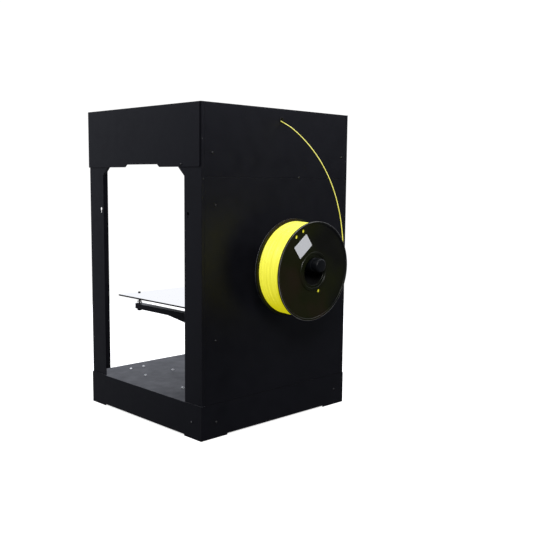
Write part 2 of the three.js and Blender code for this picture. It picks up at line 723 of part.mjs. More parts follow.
// Flanged belt pulley on a shaft that reaches from one limit to another.
function pulleyProfile(middle, [from, to], shaft) {
  const p = PULLEY;
  const half = BELT.halfWidth + GAP;
  const outer = half + p.flangeThickness;
  return [
    [0, from], [shaft, from], [shaft, middle - outer], [p.flange, middle - outer], [p.flange, middle - half],
    [p.groove, middle - half], [p.groove, middle + half], [p.flange, middle + half],
    [p.flange, middle + outer], [shaft, middle + outer], [shaft, to], [0, to],
  ];
}

// Slider on a Y rod: sockets for the X rods and the plate that carries a belt pulley.
function ySlider() {
  const s = SLIDER;
  const front = GANTRY_Y + s.front;
  const rear = GANTRY_Y + s.rear;
  const section = rectangle([s.inner, s.outer], [s.bottom, s.top]);
  section.holes.push(roundHole(Y_ROD.x, Y_ROD.z, Y_ROD.radius + GAP));
  const plate = rectangle([s.plateInner, s.inner + 1], [X_DRIVE.z - MOTOR.half, s.plateTop]);
  plate.holes.push(roundHole(X_DRIVE.halfSpan, X_DRIVE.z, s.shaftHole));
  const sockets = [-1, 1].map((side) => {
    const place = [GANTRY_Y + side * X_ROD.halfPitch, X_ROD.z];
    return rod('x', X_ROD.radius + GAP, [s.inner - 1, s.socketEnd], place);
  });
  return cut(join(
    prism(section, 'y', [front, rear], 8),
    prism(plate, 'y', [rear - s.plateThickness, rear], 8),
  ), ...sockets);
}

function gantryRail(range) {
  const x = FRAME.outer - SHEET - GAP;
  const rail = rectangle([-x, x], [RAIL.bottom, RAIL.top]);
  [-1, 1].forEach((side) => rail.holes.push(roundHole(side * Y_ROD.x, Y_ROD.z, Y_ROD.radius + GAP)));
  return prism(rail, 'y', range, 8);
}

function gantry() {
  const railRear = [RAIL.rear - RAIL.thickness, RAIL.rear];
  const railFront = [RAIL.front, RAIL.front + RAIL.thickness];
  add('gantry_rail_rear', gantryRail(railRear), 'innerSteel');
  add('gantry_rail_front', gantryRail(railFront), 'innerSteel');
  const xDriveY = GANTRY_Y + X_DRIVE.y;
  const plateRear = GANTRY_Y + SLIDER.rear;
  const yRodSpan = [RAIL.front, RAIL.rear];
  const xRodSpan = [-X_ROD.halfLength, X_ROD.halfLength];
  [['right', 1], ['left', -1]].forEach(([name, side]) => {
    add(`y_rod_${name}`, rod('y', Y_ROD.radius, yRodSpan, [side * Y_ROD.x, Y_ROD.z]), 'steelRod');
    add(`y_slider_${name}`, side > 0 ? ySlider() : mirroredX(ySlider()), 'aluminium');
    const x = side * Y_DRIVE.x;
    const loop = beltLoop([Y_DRIVE.front, Y_DRIVE.rear], Y_DRIVE.z);
    add(`y_belt_${name}`, prism(loop, 'x', [x - BELT.halfWidth, x + BELT.halfWidth], 8), 'belt');
    const wheel = pulleyProfile(x, [x - PULLEY.halfLength, x + PULLEY.halfLength], PULLEY.shaft);
    add(`y_idler_${name}`, turning(wheel, 'x', [Y_DRIVE.front, Y_DRIVE.z], SMALL), 'aluminium');
  });
  [['front', -1], ['rear', 1]].forEach(([name, side]) => {
    const place = [GANTRY_Y + side * X_ROD.halfPitch, X_ROD.z];
    add(`x_rod_${name}`, rod('x', X_ROD.radius, xRodSpan, place), 'steelRod');
  });
  const xLoop = beltLoop([-X_DRIVE.halfSpan, X_DRIVE.halfSpan], X_DRIVE.z);
  add('x_belt', prism(xLoop, 'y', [xDriveY - BELT.halfWidth, xDriveY + BELT.halfWidth], 8), 'belt');
  const pulley = pulleyProfile(xDriveY, [xDriveY - PULLEY.halfLength, plateRear], PULLEY.shaft);
  add('x_pulley', turning(pulley, 'y', [X_DRIVE.halfSpan, X_DRIVE.z], SMALL), 'aluminium');
  add('x_idler', turning(pulley, 'y', [-X_DRIVE.halfSpan, X_DRIVE.z], SMALL), 'aluminium');
  const m = MOTOR.half;
  add('x_motor', block(
    [X_DRIVE.halfSpan - m, X_DRIVE.halfSpan + m],
    [plateRear + GAP, plateRear + GAP + MOTOR.length],
    [X_DRIVE.z - m, X_DRIVE.z + m],
  ), 'motorBlack');
}

// Cross shaft at the back with a pulley at each end, turned by a motor that it runs through.
function yShaft() {
  const reach = Y_DRIVE.x + BELT.halfWidth + GAP + PULLEY.flangeThickness;
  const right = pulleyProfile(Y_DRIVE.x, [0, reach], Y_DRIVE.shaftRadius).slice(1, -1);
  const left = pulleyProfile(-Y_DRIVE.x, [-reach, 0], Y_DRIVE.shaftRadius).slice(1, -1);
  const profile = [[0, -reach], ...left.slice(0, -1), ...right.slice(1), [0, reach]];
  return turning(profile, 'x', [Y_DRIVE.rear, Y_DRIVE.z], SMALL);
}

function yMotor() {
  const m = MOTOR.half;
  const section = rectangle([Y_DRIVE.rear - m, Y_DRIVE.rear + m], [Y_DRIVE.z - m, Y_DRIVE.z + m]);
  section.holes.push(roundHole(Y_DRIVE.rear, Y_DRIVE.z, Y_DRIVE.shaftRadius + RUNNING));
  return prism(section, 'x', [-MOTOR.length / 2, MOTOR.length / 2]);
}

// ---------------------------------------------------------------- print head

function headCarriage() {
  const h = HEAD;
  const section = rectangle([GANTRY_Y - h.halfY, GANTRY_Y + h.halfY], [h.bottom, h.top]);
  [-1, 1].forEach((side) => {
    section.holes.push(roundHole(GANTRY_Y + side * X_ROD.halfPitch, X_ROD.z, X_ROD.radius + GAP));
  });
  const tab = { halfX: 15, bottom: 603 };
  const tabY = [GANTRY_Y + h.halfY - 1, GANTRY_Y + X_DRIVE.y + BELT.halfWidth];
  const carriage = join(
    prism(section, 'x', [-h.halfX, h.halfX], 8),
    block([-tab.halfX, tab.halfX], tabY, [tab.bottom, h.top]),
    extruderPlate(),
  );
  return cut(carriage, rod('z', h.filamentHole, [h.bottom - 1, h.top + 1], [0, GANTRY_Y], SMALL));
}

function heatSink() {
  const h = HOT_END;
  const pitch = (h.sinkTop - h.sinkBottom) / (2 * h.fins - 1);
  const profile = [[0, h.sinkBottom]];
  for (let i = 0; i < h.fins; i += 1) {
    const low = h.sinkBottom + 2 * i * pitch;
    const inner = i === 0 ? [] : [[h.coreRadius, low]];
    profile.push(...inner, [h.finRadius, low], [h.finRadius, low + pitch]);
    if (i < h.fins - 1) profile.push([h.coreRadius, low + pitch]);
  }
  profile.push([0, h.sinkTop]);
  return turning(profile, 'z', [0, GANTRY_Y], SMALL);
}

function nozzle() {
  const { nozzleTip: tip, blockBottom } = HOT_END;
  const radius = { tip: 0.6, cone: 2.6, body: 3.6 };
  const shoulder = tip + 2;
  const top = blockBottom - GAP;
  return turning([
    [0, tip], [radius.tip, tip], [radius.cone, shoulder],
    [radius.body, shoulder], [radius.body, top], [0, top],
  ], 'z', [0, GANTRY_Y], SMALL);
}

// Upright plate on the carriage that the extruder motor bolts to.
function extruderPlate() {
  const e = EXTRUDER;
  const shaftY = GANTRY_Y + e.shaftY;
  const rear = shaftY + MOTOR.half + e.plateBehind;
  const plate = rectangle([shaftY - MOTOR.half, rear], [HEAD.top - 1, e.z + MOTOR.half + e.plateAbove]);
  plate.holes.push(roundHole(shaftY, e.z, e.shaftHole));
  return prism(plate, 'x', [e.motorInner + GAP, e.motorInner + GAP + e.plate]);
}

function driveGear() {
  const e = EXTRUDER;
  const shaft = 2.5;
  const start = e.motorInner + GAP;
  const body = { from: -5.5, to: 5.5, hob: 0.6 };
  return turning([
    [0, start], [shaft, start], [shaft, body.from], [e.gearRadius, body.from], [e.gearRadius, -2],
    [e.gearRadius - body.hob, 0], [e.gearRadius, 2], [e.gearRadius, body.to], [0, body.to],
  ], 'x', [GANTRY_Y + e.shaftY, e.z], SMALL);
}

// Spring-loaded lever whose roller presses the filament on the drive gear.
function idlerLever() {
  const lever = { front: 9, rear: 17, bottom: 613.5, top: 659, halfX: 3.5 };
  const roller = { y: 7.4, radius: 6.2, halfX: 3 };
  const corner = 3;
  const shape = new THREE.Shape();
  const front = GANTRY_Y + lever.front;
  const rear = GANTRY_Y + lever.rear;
  shape.moveTo(front, lever.bottom);
  shape.lineTo(rear, lever.bottom);
  shape.lineTo(rear, lever.top - corner);
  shape.lineTo(rear - corner, lever.top);
  shape.lineTo(front, lever.top);
  shape.closePath();
  return join(
    prism(shape, 'x', [-lever.halfX, lever.halfX]),
    rod('x', roller.radius, [-roller.halfX, roller.halfX], [GANTRY_Y + roller.y, EXTRUDER.z], 20),
  );
}

function printHead() {
  const e = EXTRUDER;
  const h = HOT_END;
  const shaftY = GANTRY_Y + e.shaftY;
  add('head_carriage', headCarriage(), 'darkPlastic');
  add('extruder_motor', block(
    [e.motorOuter, e.motorInner],
    [shaftY - MOTOR.half, shaftY + MOTOR.half],
    [HEAD.top + GAP, HEAD.top + GAP + 2 * MOTOR.half],
  ), 'motorBlack');
  add('drive_gear', driveGear(), 'steelRod');
  add('idler_lever', idlerLever(), 'darkPlastic');
  add('heat_sink', heatSink(), 'aluminium');
  add('heater_block', block(
    [-h.blockHalfX, h.blockHalfX],
    [GANTRY_Y - h.blockHalfY, GANTRY_Y + h.blockHalfY],
    [h.blockBottom, h.blockTop],
  ), 'aluminium');
  add('nozzle', nozzle(), 'brass');
}

// ---------------------------------------------------------------- electronics and controls

function controlBoard() {
  const top = BOARD.bottom + BOARD.thickness;
  const chips = BOARD.chips.map(([x, y, half, height]) => (
    block([x - half, x + half], [y - half, y + half], [BOARD.bottom, top + height])
  ));
  return join(block(BOARD.x, BOARD.y, [BOARD.bottom, top]), ...chips);
}

function displayModule() {
  const front = -CABINET.halfDepth;
  const [x, z] = [DISPLAY.x, DISPLAY.z];
  return block([x[0] + GAP, x[1] - GAP], [front, front + DISPLAY.depth], [z[0] + GAP, z[1] - GAP]);
}

function controlKnob() {
  const k = KNOB;
  const face = -CABINET.halfDepth - GAP;
  const tip = face - k.length;
  const end = face + k.shaftLength;
  return turning([
    [0, tip], [k.radius - k.round, tip], [k.radius, tip + k.round], [k.radius, face],
    [k.shaft, face], [k.shaft, end], [0, end],
  ], 'y', [k.x, k.z]);
}

// Mains inlet module: a socket with three blades and the pocket of the rocker switch.
function powerInlet() {
  const mouth = -CABINET.halfWidth;
  const back = mouth + INLET.depth;
  const y = [INLET.y[0] + GAP, INLET.y[1] - GAP];
  const z = [INLET.z[0] + GAP, INLET.z[1] - GAP];
  const wall = 3;
  const shell = cut(
    block([mouth, back], y, z),
    block([mouth - 1, back - wall], INLET.socketY, [z[0] + wall, z[1] - wall]),
    block([mouth - 1, back - wall], INLET.rockerY, [z[0] + wall, z[1] - wall]),
  );
  const blade = { halfY: 1, halfZ: 2.2, tip: mouth + 7 };
  const middleY = (INLET.socketY[0] + INLET.socketY[1]) / 2;
  const middleZ = (INLET.z[0] + INLET.z[1]) / 2;
  const blades = [[-7, -3], [0, 3], [7, -3]].map(([dy, dz]) => block(
    [blade.tip, back - wall + 1],
    [middleY + dy - blade.halfY, middleY + dy + blade.halfY],
    [middleZ + dz - blade.halfZ, middleZ + dz + blade.halfZ],
  ));
  return join(shell, ...blades);
}

function powerSwitch() {
  const [y0, y1] = INLET.rockerY;
  const middle = (y0 + y1) / 2;
  const half = (y1 - y0) / 2 - ROCKER.clear;
  const z = [INLET.z[0] + ROCKER.inset, INLET.z[1] - ROCKER.inset];
  const { proud, dip } = ROCKER;
  const back = ROCKER.depth - proud;
  const heel = half - ROCKER.taper;
  const section = outline([[-proud, -half], [-proud + dip, 0], [-proud, half], [back, heel], [back, -heel]]);
  const paddle = prism(section, 'z', z);
  paddle.rotateZ(THREE.MathUtils.degToRad(-ROCKER.restDeg));
  return paddle.translate(ROCKER.pivotX, middle, 0);
}

function electronics() {
  const floor = BAY_FLOOR.bottom + BAY_FLOOR.thickness + GAP;
  add('power_supply', block(SUPPLY.x, SUPPLY.y, [floor, floor + SUPPLY.height]), 'aluminium');
  add('control_board', controlBoard(), 'circuitBoard');
  add('display_module', displayModule(), 'display');
  add('control_knob', controlKnob(), 'darkPlastic');
  add('power_inlet', powerInlet(), 'darkPlastic');
  add('power_switch', powerSwitch(), 'darkPlastic');
}

// ---------------------------------------------------------------- whole printer

cabinet();
spoolAndHolder();
platform();
gantry();
add('y_shaft', yShaft(), 'steelRod');
add('y_motor', yMotor(), 'motorBlack');
printHead();
electronics();

printer.updateMatrixWorld(true);
const extent = new THREE.Box3().setFromObject(printer, true);
printer.position.y = -(extent.min.y + extent.max.y) / 2;

const part = new THREE.Group();
part.add(printer);
export default part;
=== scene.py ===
import json
import math
import random

import bmesh
import bpy
from mathutils import Matrix, Vector


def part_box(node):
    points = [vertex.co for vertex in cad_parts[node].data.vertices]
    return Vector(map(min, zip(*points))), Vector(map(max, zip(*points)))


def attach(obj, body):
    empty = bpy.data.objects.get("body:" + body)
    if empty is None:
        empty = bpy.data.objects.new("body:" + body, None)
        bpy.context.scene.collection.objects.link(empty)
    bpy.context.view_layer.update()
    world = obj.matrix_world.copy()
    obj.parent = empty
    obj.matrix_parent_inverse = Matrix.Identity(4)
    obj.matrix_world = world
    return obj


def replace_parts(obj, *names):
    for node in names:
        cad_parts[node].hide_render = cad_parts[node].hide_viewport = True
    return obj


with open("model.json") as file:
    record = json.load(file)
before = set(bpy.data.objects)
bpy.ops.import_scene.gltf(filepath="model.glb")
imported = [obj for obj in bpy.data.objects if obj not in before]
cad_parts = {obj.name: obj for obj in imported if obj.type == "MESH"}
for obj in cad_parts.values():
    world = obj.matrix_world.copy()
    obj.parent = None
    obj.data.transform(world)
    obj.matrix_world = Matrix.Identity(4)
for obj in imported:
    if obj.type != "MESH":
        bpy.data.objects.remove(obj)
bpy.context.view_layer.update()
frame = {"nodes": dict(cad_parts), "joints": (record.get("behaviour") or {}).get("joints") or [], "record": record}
NODES = frame["nodes"]

MM = 0.001
TAU = math.tau
X, Y, Z = Vector((1, 0, 0)), Vector((0, 1, 0)), Vector((0, 0, 1))

# ------------------------------------------------------------------ places taken from the frame

TRAY_LOW, TRAY_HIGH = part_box("base_tray")
MID_Y = (TRAY_LOW.y + TRAY_HIGH.y) / 2     # the cabinet's middle, front to back
BACK, SIDE, CHAMBER_FLOOR = TRAY_HIGH.y - MID_Y, TRAY_HIGH.x, TRAY_HIGH.z
BACK_MM, SIDE_MM, FLOOR_MM = BACK / MM, SIDE / MM, CHAMBER_FLOOR / MM


def at(x, y, z):
    """A point given in millimetres from the middle of the cabinet's footprint, on the floor."""
    return Vector((x * MM, MID_Y + y * MM, z * MM))


def middle(node):
    low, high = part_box(node)
    return (low + high) / 2


def joint(name):
    return next(row for row in frame["joints"] if row["name"] == name)


# ------------------------------------------------------------------ camera

CAMERA_PLACE = at(1160.7, 1365.4, 515.2)
CAMERA_YAW, CAMERA_PITCH, CAMERA_ROLL = (math.radians(a) for a in (225.45, 6.87, 0.59))
CAMERA_LENS = 51.03


def make_camera():
    ahead = Vector((
        math.cos(CAMERA_PITCH) * math.cos(CAMERA_YAW),
        math.cos(CAMERA_PITCH) * math.sin(CAMERA_YAW),
        -math.sin(CAMERA_PITCH),
    ))
    right = ahead.cross(Z).normalized()
    up = right.cross(ahead)
    tilted_right = right * math.cos(CAMERA_ROLL) + up * math.sin(CAMERA_ROLL)
    tilted_up = up * math.cos(CAMERA_ROLL) - right * math.sin(CAMERA_ROLL)
    data = bpy.data.cameras.new("camera")
    data.sensor_width = 36
    data.lens = CAMERA_LENS
    data.clip_end = 50
    camera = bpy.data.objects.new("camera", data)
    turn = Matrix((tilted_right, tilted_up, -ahead)).transposed().to_4x4()
    camera.matrix_world = Matrix.Translation(CAMERA_PLACE) @ turn
    bpy.context.scene.collection.objects.link(camera)
    bpy.context.scene.camera = camera


make_camera()

# ------------------------------------------------------------------ materials


NOISE_LOW, NOISE_HIGH = 0.3, 0.7           # the range most of a noise texture falls in


class Shader:
    """A Principled material with a few shorthands for its node tree."""

    def __init__(self, name, color, roughness, metallic=0.0, specular=0.5):
        self.material = bpy.data.materials.new(name)
        self.material.use_nodes = True
        self.tree = self.material.node_tree
        self.bsdf = self.tree.nodes["Principled BSDF"]
        self.bsdf.inputs["Base Color"].default_value = (*color, 1)
        self.bsdf.inputs["Roughness"].default_value = roughness
        self.bsdf.inputs["Metallic"].default_value = metallic
        self.bsdf.inputs["Specular IOR Level"].default_value = specular
        self.color = color
        self.coords = self.tree.nodes.new("ShaderNodeTexCoord").outputs["Object"]

    def node(self, kind, **inputs):
        made = self.tree.nodes.new(kind)
        for key, value in inputs.items():
            made.inputs[key.replace("_", " ")].default_value = value
        return made

    def link(self, a, b):
        self.tree.links.new(a, b)

    def stretched(self, scale):
        mapping = self.tree.nodes.new("ShaderNodeMapping")
        mapping.inputs["Scale"].default_value = scale
        self.link(self.coords, mapping.inputs["Vector"])
        return mapping.outputs["Vector"]

    def noise(self, scale, detail=3.0, roughness=0.55, vector=None):
        made = self.node("ShaderNodeTexNoise", Scale=scale, Detail=detail, Roughness=roughness)
        self.link(vector or self.coords, made.inputs["Vector"])
        return made.outputs["Fac"]

    def ramp(self, value, stops):
        made = self.tree.nodes.new("ShaderNodeValToRGB")
        elements = made.color_ramp.elements
        while len(elements) < len(stops):
            elements.new(0.5)
        for element, (position, color) in zip(elements, stops):
            element.position = position
            element.color = (*color, 1)
        self.link(value, made.inputs["Fac"])
        return made.outputs["Color"]

    def vary_color(self, value, low, high):
        dark = tuple(c * low for c in self.color)
        light = tuple(min(1, c * high) for c in self.color)
        stops = [(NOISE_LOW, dark), (NOISE_HIGH, light)]
        self.link(self.ramp(value, stops), self.bsdf.inputs["Base Color"])

    def vary_roughness(self, value, low, high):
        made = self.node("ShaderNodeMapRange", From_Min=NOISE_LOW, From_Max=NOISE_HIGH,
                         To_Min=low, To_Max=high)
        self.link(value, made.inputs["Value"])
        self.link(made.outputs["Result"], self.bsdf.inputs["Roughness"])

    def bump(self, value, distance, strength=1.0, below=None):
        made = self.node("ShaderNodeBump", Strength=strength, Distance=distance)
        self.link(value, made.inputs["Height"])
        if below:
            self.link(below, made.inputs["Normal"])
        self.link(made.outputs["Normal"], self.bsdf.inputs["Normal"])
        return made.outputs["Normal"]

    def set(self, **inputs):
        for key, value in inputs.items():
            self.bsdf.inputs[key.replace("_", " ")].default_value = value
        return self


def powder_coat(name, color, roughness, specular):
    """Fine-textured powder coat: orange-peel grain, faint cloudiness and a fine sparkle."""
    s = Shader(name, color, roughness, specular=specular)
    s.set(Specular_Tint=(0.76, 0.79, 1.0, 1))
    s.vary_color(s.noise(9, 4), 0.85, 1.2)
    s.vary_roughness(s.noise(35, 3), roughness - 0.04, roughness + 0.06)
    fine = s.bump(s.noise(1500, 2), 0.00006, 0.5)
    s.bump(s.noise(430, 2), 0.00010, 0.35, below=fine)
    return s.material


def brushed(name, color, roughness, along):
    """Metal with fine lines running along one axis."""
    s = Shader(name, color, roughness, metallic=1.0)
    stretch = [900, 900, 900]
    stretch["xyz".index(along)] = 12
    lines = s.noise(1.0, 3, vector=s.stretched(tuple(stretch)))
    s.vary_color(lines, 0.86, 1.08)
    s.vary_roughness(lines, roughness * 0.75, roughness * 1.35)
    s.bump(lines, 0.00002, 0.3)
    return s.material


def moulded(name, color, roughness, grain=900, depth=0.00004, specular=0.5):
    """Moulded plastic with a spark-eroded grain."""
    s = Shader(name, color, roughness, specular=specular)
    s.vary_color(s.noise(25, 3), 0.9, 1.15)
    s.vary_roughness(s.noise(60, 2), roughness * 0.9, roughness * 1.15)
    s.bump(s.noise(grain, 2), depth, 0.5)
    return s.material


def laminated(name, color, roughness):
    """Stacked stampings of a motor's body, seen as a fine grain."""
    s = Shader(name, color, roughness, 0.4)
    s.vary_color(s.noise(180, 4), 0.7, 1.3)
    s.vary_roughness(s.noise(400, 2), roughness - 0.08, roughness + 0.08)
    s.bump(s.noise(2400, 2), 0.00005, 0.5)
    return s.material


def smoked_plastic():
    """Dark tinted plastic that lets a little of the filament's light through, with painted olive and brown glow in
    its colour.
    """
    s = Shader("smoked_plastic", (0.004, 0.0046, 0.0028), 0.28, specular=0.3)
    # The olive and brown tones are painted glow: the yellow winding's light through the plastic, and its
    # reflections, laid into the base colour by noise.
    grey, painted_olive_glow, painted_brown_glow = (0.0040, 0.0044, 0.0050), (0.0100, 0.0125, 0.0024), (0.0190, 0.0125, 0.0066)
    painted_glow_tones = [(0.36, grey), (0.5, painted_olive_glow), (0.64, painted_brown_glow)]
    s.link(s.ramp(s.noise(9, 2), painted_glow_tones), s.bsdf.inputs["Base Color"])
    s.vary_roughness(s.noise(40, 3), 0.32, 0.42)
    s.bump(s.noise(26, 2), 0.0006, 0.10)
    s.set(Alpha=0.95)
    return s.material


def painted_rim_highlight():
    """Painted highlight on the smoked plastic's rim: a pale band, paler than the face, standing in for the light
    the rim catches.
    """
    s = Shader("smoked_rim_painted_highlight", (0.24, 0.24, 0.245), 0.3, specular=0.6)
    s.vary_color(s.noise(22, 3), 0.35, 1.5)
    s.vary_roughness(s.noise(60, 2), 0.22, 0.4)
    return s.material


def filament_material(name, color, painted_glow, bands):
    """Fluorescent yellow strand, glossy, uneven from turn to turn, with a painted glow (emission) standing in for
    its fluorescence and slight translucency.
    """
    s = Shader(name, color, 0.42, specular=0.5)
    s.vary_color(s.noise(1.0, 3, vector=s.stretched(bands)), 0.62, 1.06)
    s.vary_roughness(s.noise(300, 2), 0.36, 0.5)
    s.bump(s.noise(1400, 2), 0.00003, 0.3)
    # The emission is painted glow: the filament is no lamp.
    s.set(Emission_Color=(0.82, 0.75, 0.001, 1), Emission_Strength=painted_glow)
    return s.material


def paper():
    """White paper label with faint fibres."""
    s = Shader("label_paper", (0.93, 0.94, 0.99), 0.6, specular=0.2)
    s.vary_color(s.noise(700, 4), 0.95, 1.03)
    s.bump(s.noise(900, 3), 0.00002, 0.3)
    return s.material


def rubber():
    s = Shader("belt_rubber", (0.012, 0.012, 0.012), 0.72, specular=0.3)
    s.vary_color(s.noise(220, 3), 0.8, 1.25)
    s.bump(s.noise(1600, 3), 0.00005, 0.6)
    return s.material


def mirror_plate():
    """Polished plate with faint rubbing marks."""
    s = Shader("bed_mirror", (0.97, 0.94, 0.88), 0.045, metallic=1.0)
    marks = s.noise(1.0, 3, vector=s.stretched((30, 600, 30)))
    s.vary_color(marks, 0.97, 1.02)
    s.vary_roughness(s.noise(18, 4), 0.03, 0.09)
    s.bump(marks, 0.000004, 0.2)
    return s.material


MATERIALS = {
    "powder_coat": powder_coat("powder_coat_black", (0.0042, 0.0041, 0.0058), 0.46, 0.40),
    "inner_steel": powder_coat("inner_black", (0.0045, 0.0045, 0.006), 0.42, 0.42),
    "smoked_plastic": smoked_plastic(),
    "smoked_rim_painted_highlight": painted_rim_highlight(),
    "spool_core": moulded("spool_core_black", (0.006, 0.006, 0.006), 0.45),
    "filament": filament_material("filament_yellow", (0.86, 0.88, 0.17), 0.60, (4, 420, 4)),
    # The strand's copy is paler than the winding's: painted highlight along the thin strand.
    "strand": filament_material("filament_strand_painted_highlight_yellow", (0.85, 0.84, 0.36), 0.55, (60, 60, 60)),
    "shaft_black": moulded("shaft_black", (0.0045, 0.0055, 0.007), 0.42, grain=500, specular=0.3),
    "steel_rod": brushed("ground_steel", (0.52, 0.53, 0.55), 0.2, "z"),
    "motor_black": laminated("motor_black", (0.014, 0.014, 0.015), 0.42),
    "aluminium": brushed("machined_aluminium", (0.58, 0.59, 0.61), 0.34, "x"),
    "bed_surface": mirror_plate(),
    "brass": brushed("machined_brass", (0.65, 0.46, 0.16), 0.26, "z"),
    "belt_rubber": rubber(),
    "circuit_board": moulded("board_green", (0.012, 0.10, 0.045), 0.35),
    "display_glass": moulded("display_window", (0.004, 0.009, 0.018), 0.08, grain=30, depth=0.00001),
    "dark_plastic": moulded("moulded_black", (0.010, 0.010, 0.011), 0.42),
    "paper": paper(),
    "screw_black": brushed("screw_black_steel", (0.075, 0.075, 0.08), 0.42, "z"),
    "spring_steel": brushed("spring_dark_steel", (0.03, 0.03, 0.033), 0.38, "z"),
    "screw_steel": brushed("screw_zinc_steel", (0.80, 0.81, 0.84), 0.34, "z"),
}


# ------------------------------------------------------------------ mesh helpers


def place_object(name, data, finish, body):
    """Link a piece, give it its finish and let it ride on a body."""
    made = bpy.data.objects.new(name, data)
    data.materials.clear()
    data.materials.append(MATERIALS[finish])
    bpy.context.scene.collection.objects.link(made)
    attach(made, body)
    return made


FLAT_AREA = 6e-6                           # a face larger than this is shaded flat


def from_bmesh(name, bm, finish, body, sharp=35, flats=False):
    bmesh.ops.recalc_face_normals(bm, faces=bm.faces)
    data = bpy.data.meshes.new(name)
    bm.to_mesh(data)
    bm.free()
    data.shade_smooth()
    data.set_sharp_from_angle(angle=math.radians(sharp))
    if flats:
        for polygon in data.polygons:
            polygon.use_smooth = polygon.area < FLAT_AREA
    return place_object(name, data, finish, body)


def bevel_sharp(bm, width, segments=2, limit=32):
    """Round every edge whose faces meet at more than a limit."""
    edges = [e for e in bm.edges if e.is_manifold and e.calc_face_angle(0) > math.radians(limit)]
    bmesh.ops.bevel(bm, geom=edges, offset=width, segments=segments, profile=0.6, affect="EDGES",
                    clamp_overlap=True)


def body_of(node):
    return next(name for name, nodes in frame["record"]["behaviour"]["bodies"].items() if node in nodes)


def slot_of(node):
    return next(row["material_slot"] for row in frame["record"]["subparts"] if row["node"] == node)


def cleaned(node):
    """A copy of the CAD node's mesh with its flat faces merged."""
    bm = bmesh.new()
    bm.from_mesh(NODES[node].data)
    bmesh.ops.remove_doubles(bm, verts=bm.verts, dist=1e-6)
    bmesh.ops.dissolve_limit(bm, angle_limit=math.radians(1), verts=bm.verts, edges=bm.edges)
    return bm


def refined(node, width, segments=2):
    """The CAD node's own shape with rounded edges, standing in for the node."""
    bm = cleaned(node)
    bevel_sharp(bm, width, segments)
    made = from_bmesh(node + "_fine", bm, slot_of(node), body_of(node), flats=True)
    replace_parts(made, node)


def skin(bm, rings, closed=False):
    """Faces between neighbouring rings, and from the last ring to the first if closed."""
    for low, high in zip(rings, rings[1:] + rings[:1] if closed else rings[1:]):
        for i in range(len(low)):
            j = (i + 1) % len(low)
            bm.faces.new([low[i], low[j], high[j], high[i]])


def arc(radius, along, wide, tall, start=0, steps=6):
    """A quarter turn of a profile's outline, about its centre at (radius, along)."""
    angles = [math.radians(start + 90 * k / steps) for k in range(steps + 1)]
    return [(radius + wide * math.cos(a), along + tall * math.sin(a)) for a in angles]


def bolt_circle(radius):
    """Four holes round a centre, as millimetres to either side of it."""
    reach = radius / math.sqrt(2)
    return [(reach, reach), (-reach, reach), (-reach, -reach), (reach, -reach)]


def hexagonal(angle, flat):
    """How far a hexagon's outline departs from its round one at an angle, as a share of the radius."""
    sector = (angle + TAU / 12) % (TAU / 6) - TAU / 12
    return flat / math.cos(sector) - 1


def turn_to(axis):
    return Z.rotation_difference(Vector(axis)).to_matrix().to_4x4()


def add_turned(bm, profile, place, axis=Z, segments=48, ripple=None):
    """Add a solid of revolution: profile of (radius, distance along the axis) in millimetres."""
    matrix = Matrix.Translation(place) @ turn_to(axis)
    rings = []
    for radius, along in profile:
        if radius < 1e-4:
            rings.append([bm.verts.new(matrix @ Vector((0, 0, along * MM)))])
            continue
        ring = []
        for i in range(segments):
            angle = TAU * i / segments
            r = (radius + (ripple(angle, radius, along) if ripple else 0)) * MM
            ring.append(bm.verts.new(matrix @ Vector((r * math.cos(angle), r * math.sin(angle), along * MM))))
        rings.append(ring)
    pairs = list(zip(rings, rings[1:]))
    if len(rings[0]) > 1 and len(rings[-1]) > 1:
        pairs.append((rings[-1], rings[0]))
    for low, high in pairs:
        for i in range(segments):
            j = (i + 1) % segments
            loop = [low[i % len(low)], low[j % len(low)], high[j % len(high)], high[i % len(high)]]
            unique = list(dict.fromkeys(loop))
            if len(unique) > 2:
                bm.faces.new(unique)


def turned(name, profile, place, axis, finish, body, segments=64, sharp=35, ripple=None):
    bm = bmesh.new()
    add_turned(bm, profile, place, axis, segments, ripple)
    return from_bmesh(name, bm, finish, body, sharp)


def stand_in(node, profile, place, axis, finish=None, segments=64, sharp=35, ripple=None):
    """A turned piece in place of a CAD node, riding on the node's own body."""
    finish = finish or slot_of(node)
    made = turned(node + "_fine", profile, place, axis, finish, body_of(node), segments, sharp, ripple)
    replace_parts(made, node)


def add_box(bm, low, high):
    size = Vector(high) - Vector(low)
    centre = (Vector(low) + Vector(high)) / 2
    matrix = Matrix.Translation(centre) @ Matrix.Diagonal((*size, 1))
    return bmesh.ops.create_cube(bm, size=1, matrix=matrix)["verts"]


def boxes(name, pairs, finish, body, width=0.0005, segments=2):
    """One piece of separate blocks, each between two corners, with rounded edges."""
    bm = bmesh.new()
    for low, high in pairs:
        add_box(bm, low, high)
    bevel_sharp(bm, width, segments)
    return from_bmesh(name, bm, finish, body, flats=True)


def add_tube(bm, points, radius, sides=8):
    """Add a closed round tube along a list of points."""
    rings = []
    normal = None
    for i, point in enumerate(points):
        ahead = (points[min(i + 1, len(points) - 1)] - points[max(i - 1, 0)]).normalized()
        if normal is None:
            normal = ahead.orthogonal().normalized()
        normal = (normal - ahead * normal.dot(ahead)).normalized()
        side = ahead.cross(normal)
        turns = [TAU * k / sides for k in range(sides)]
        spokes = [normal * math.cos(a) + side * math.sin(a) for a in turns]
        rings.append([bm.verts.new(point + spoke * radius) for spoke in spokes])
    skin(bm, rings)
    bm.faces.new(list(reversed(rings[0])))
    bm.faces.new(rings[-1])


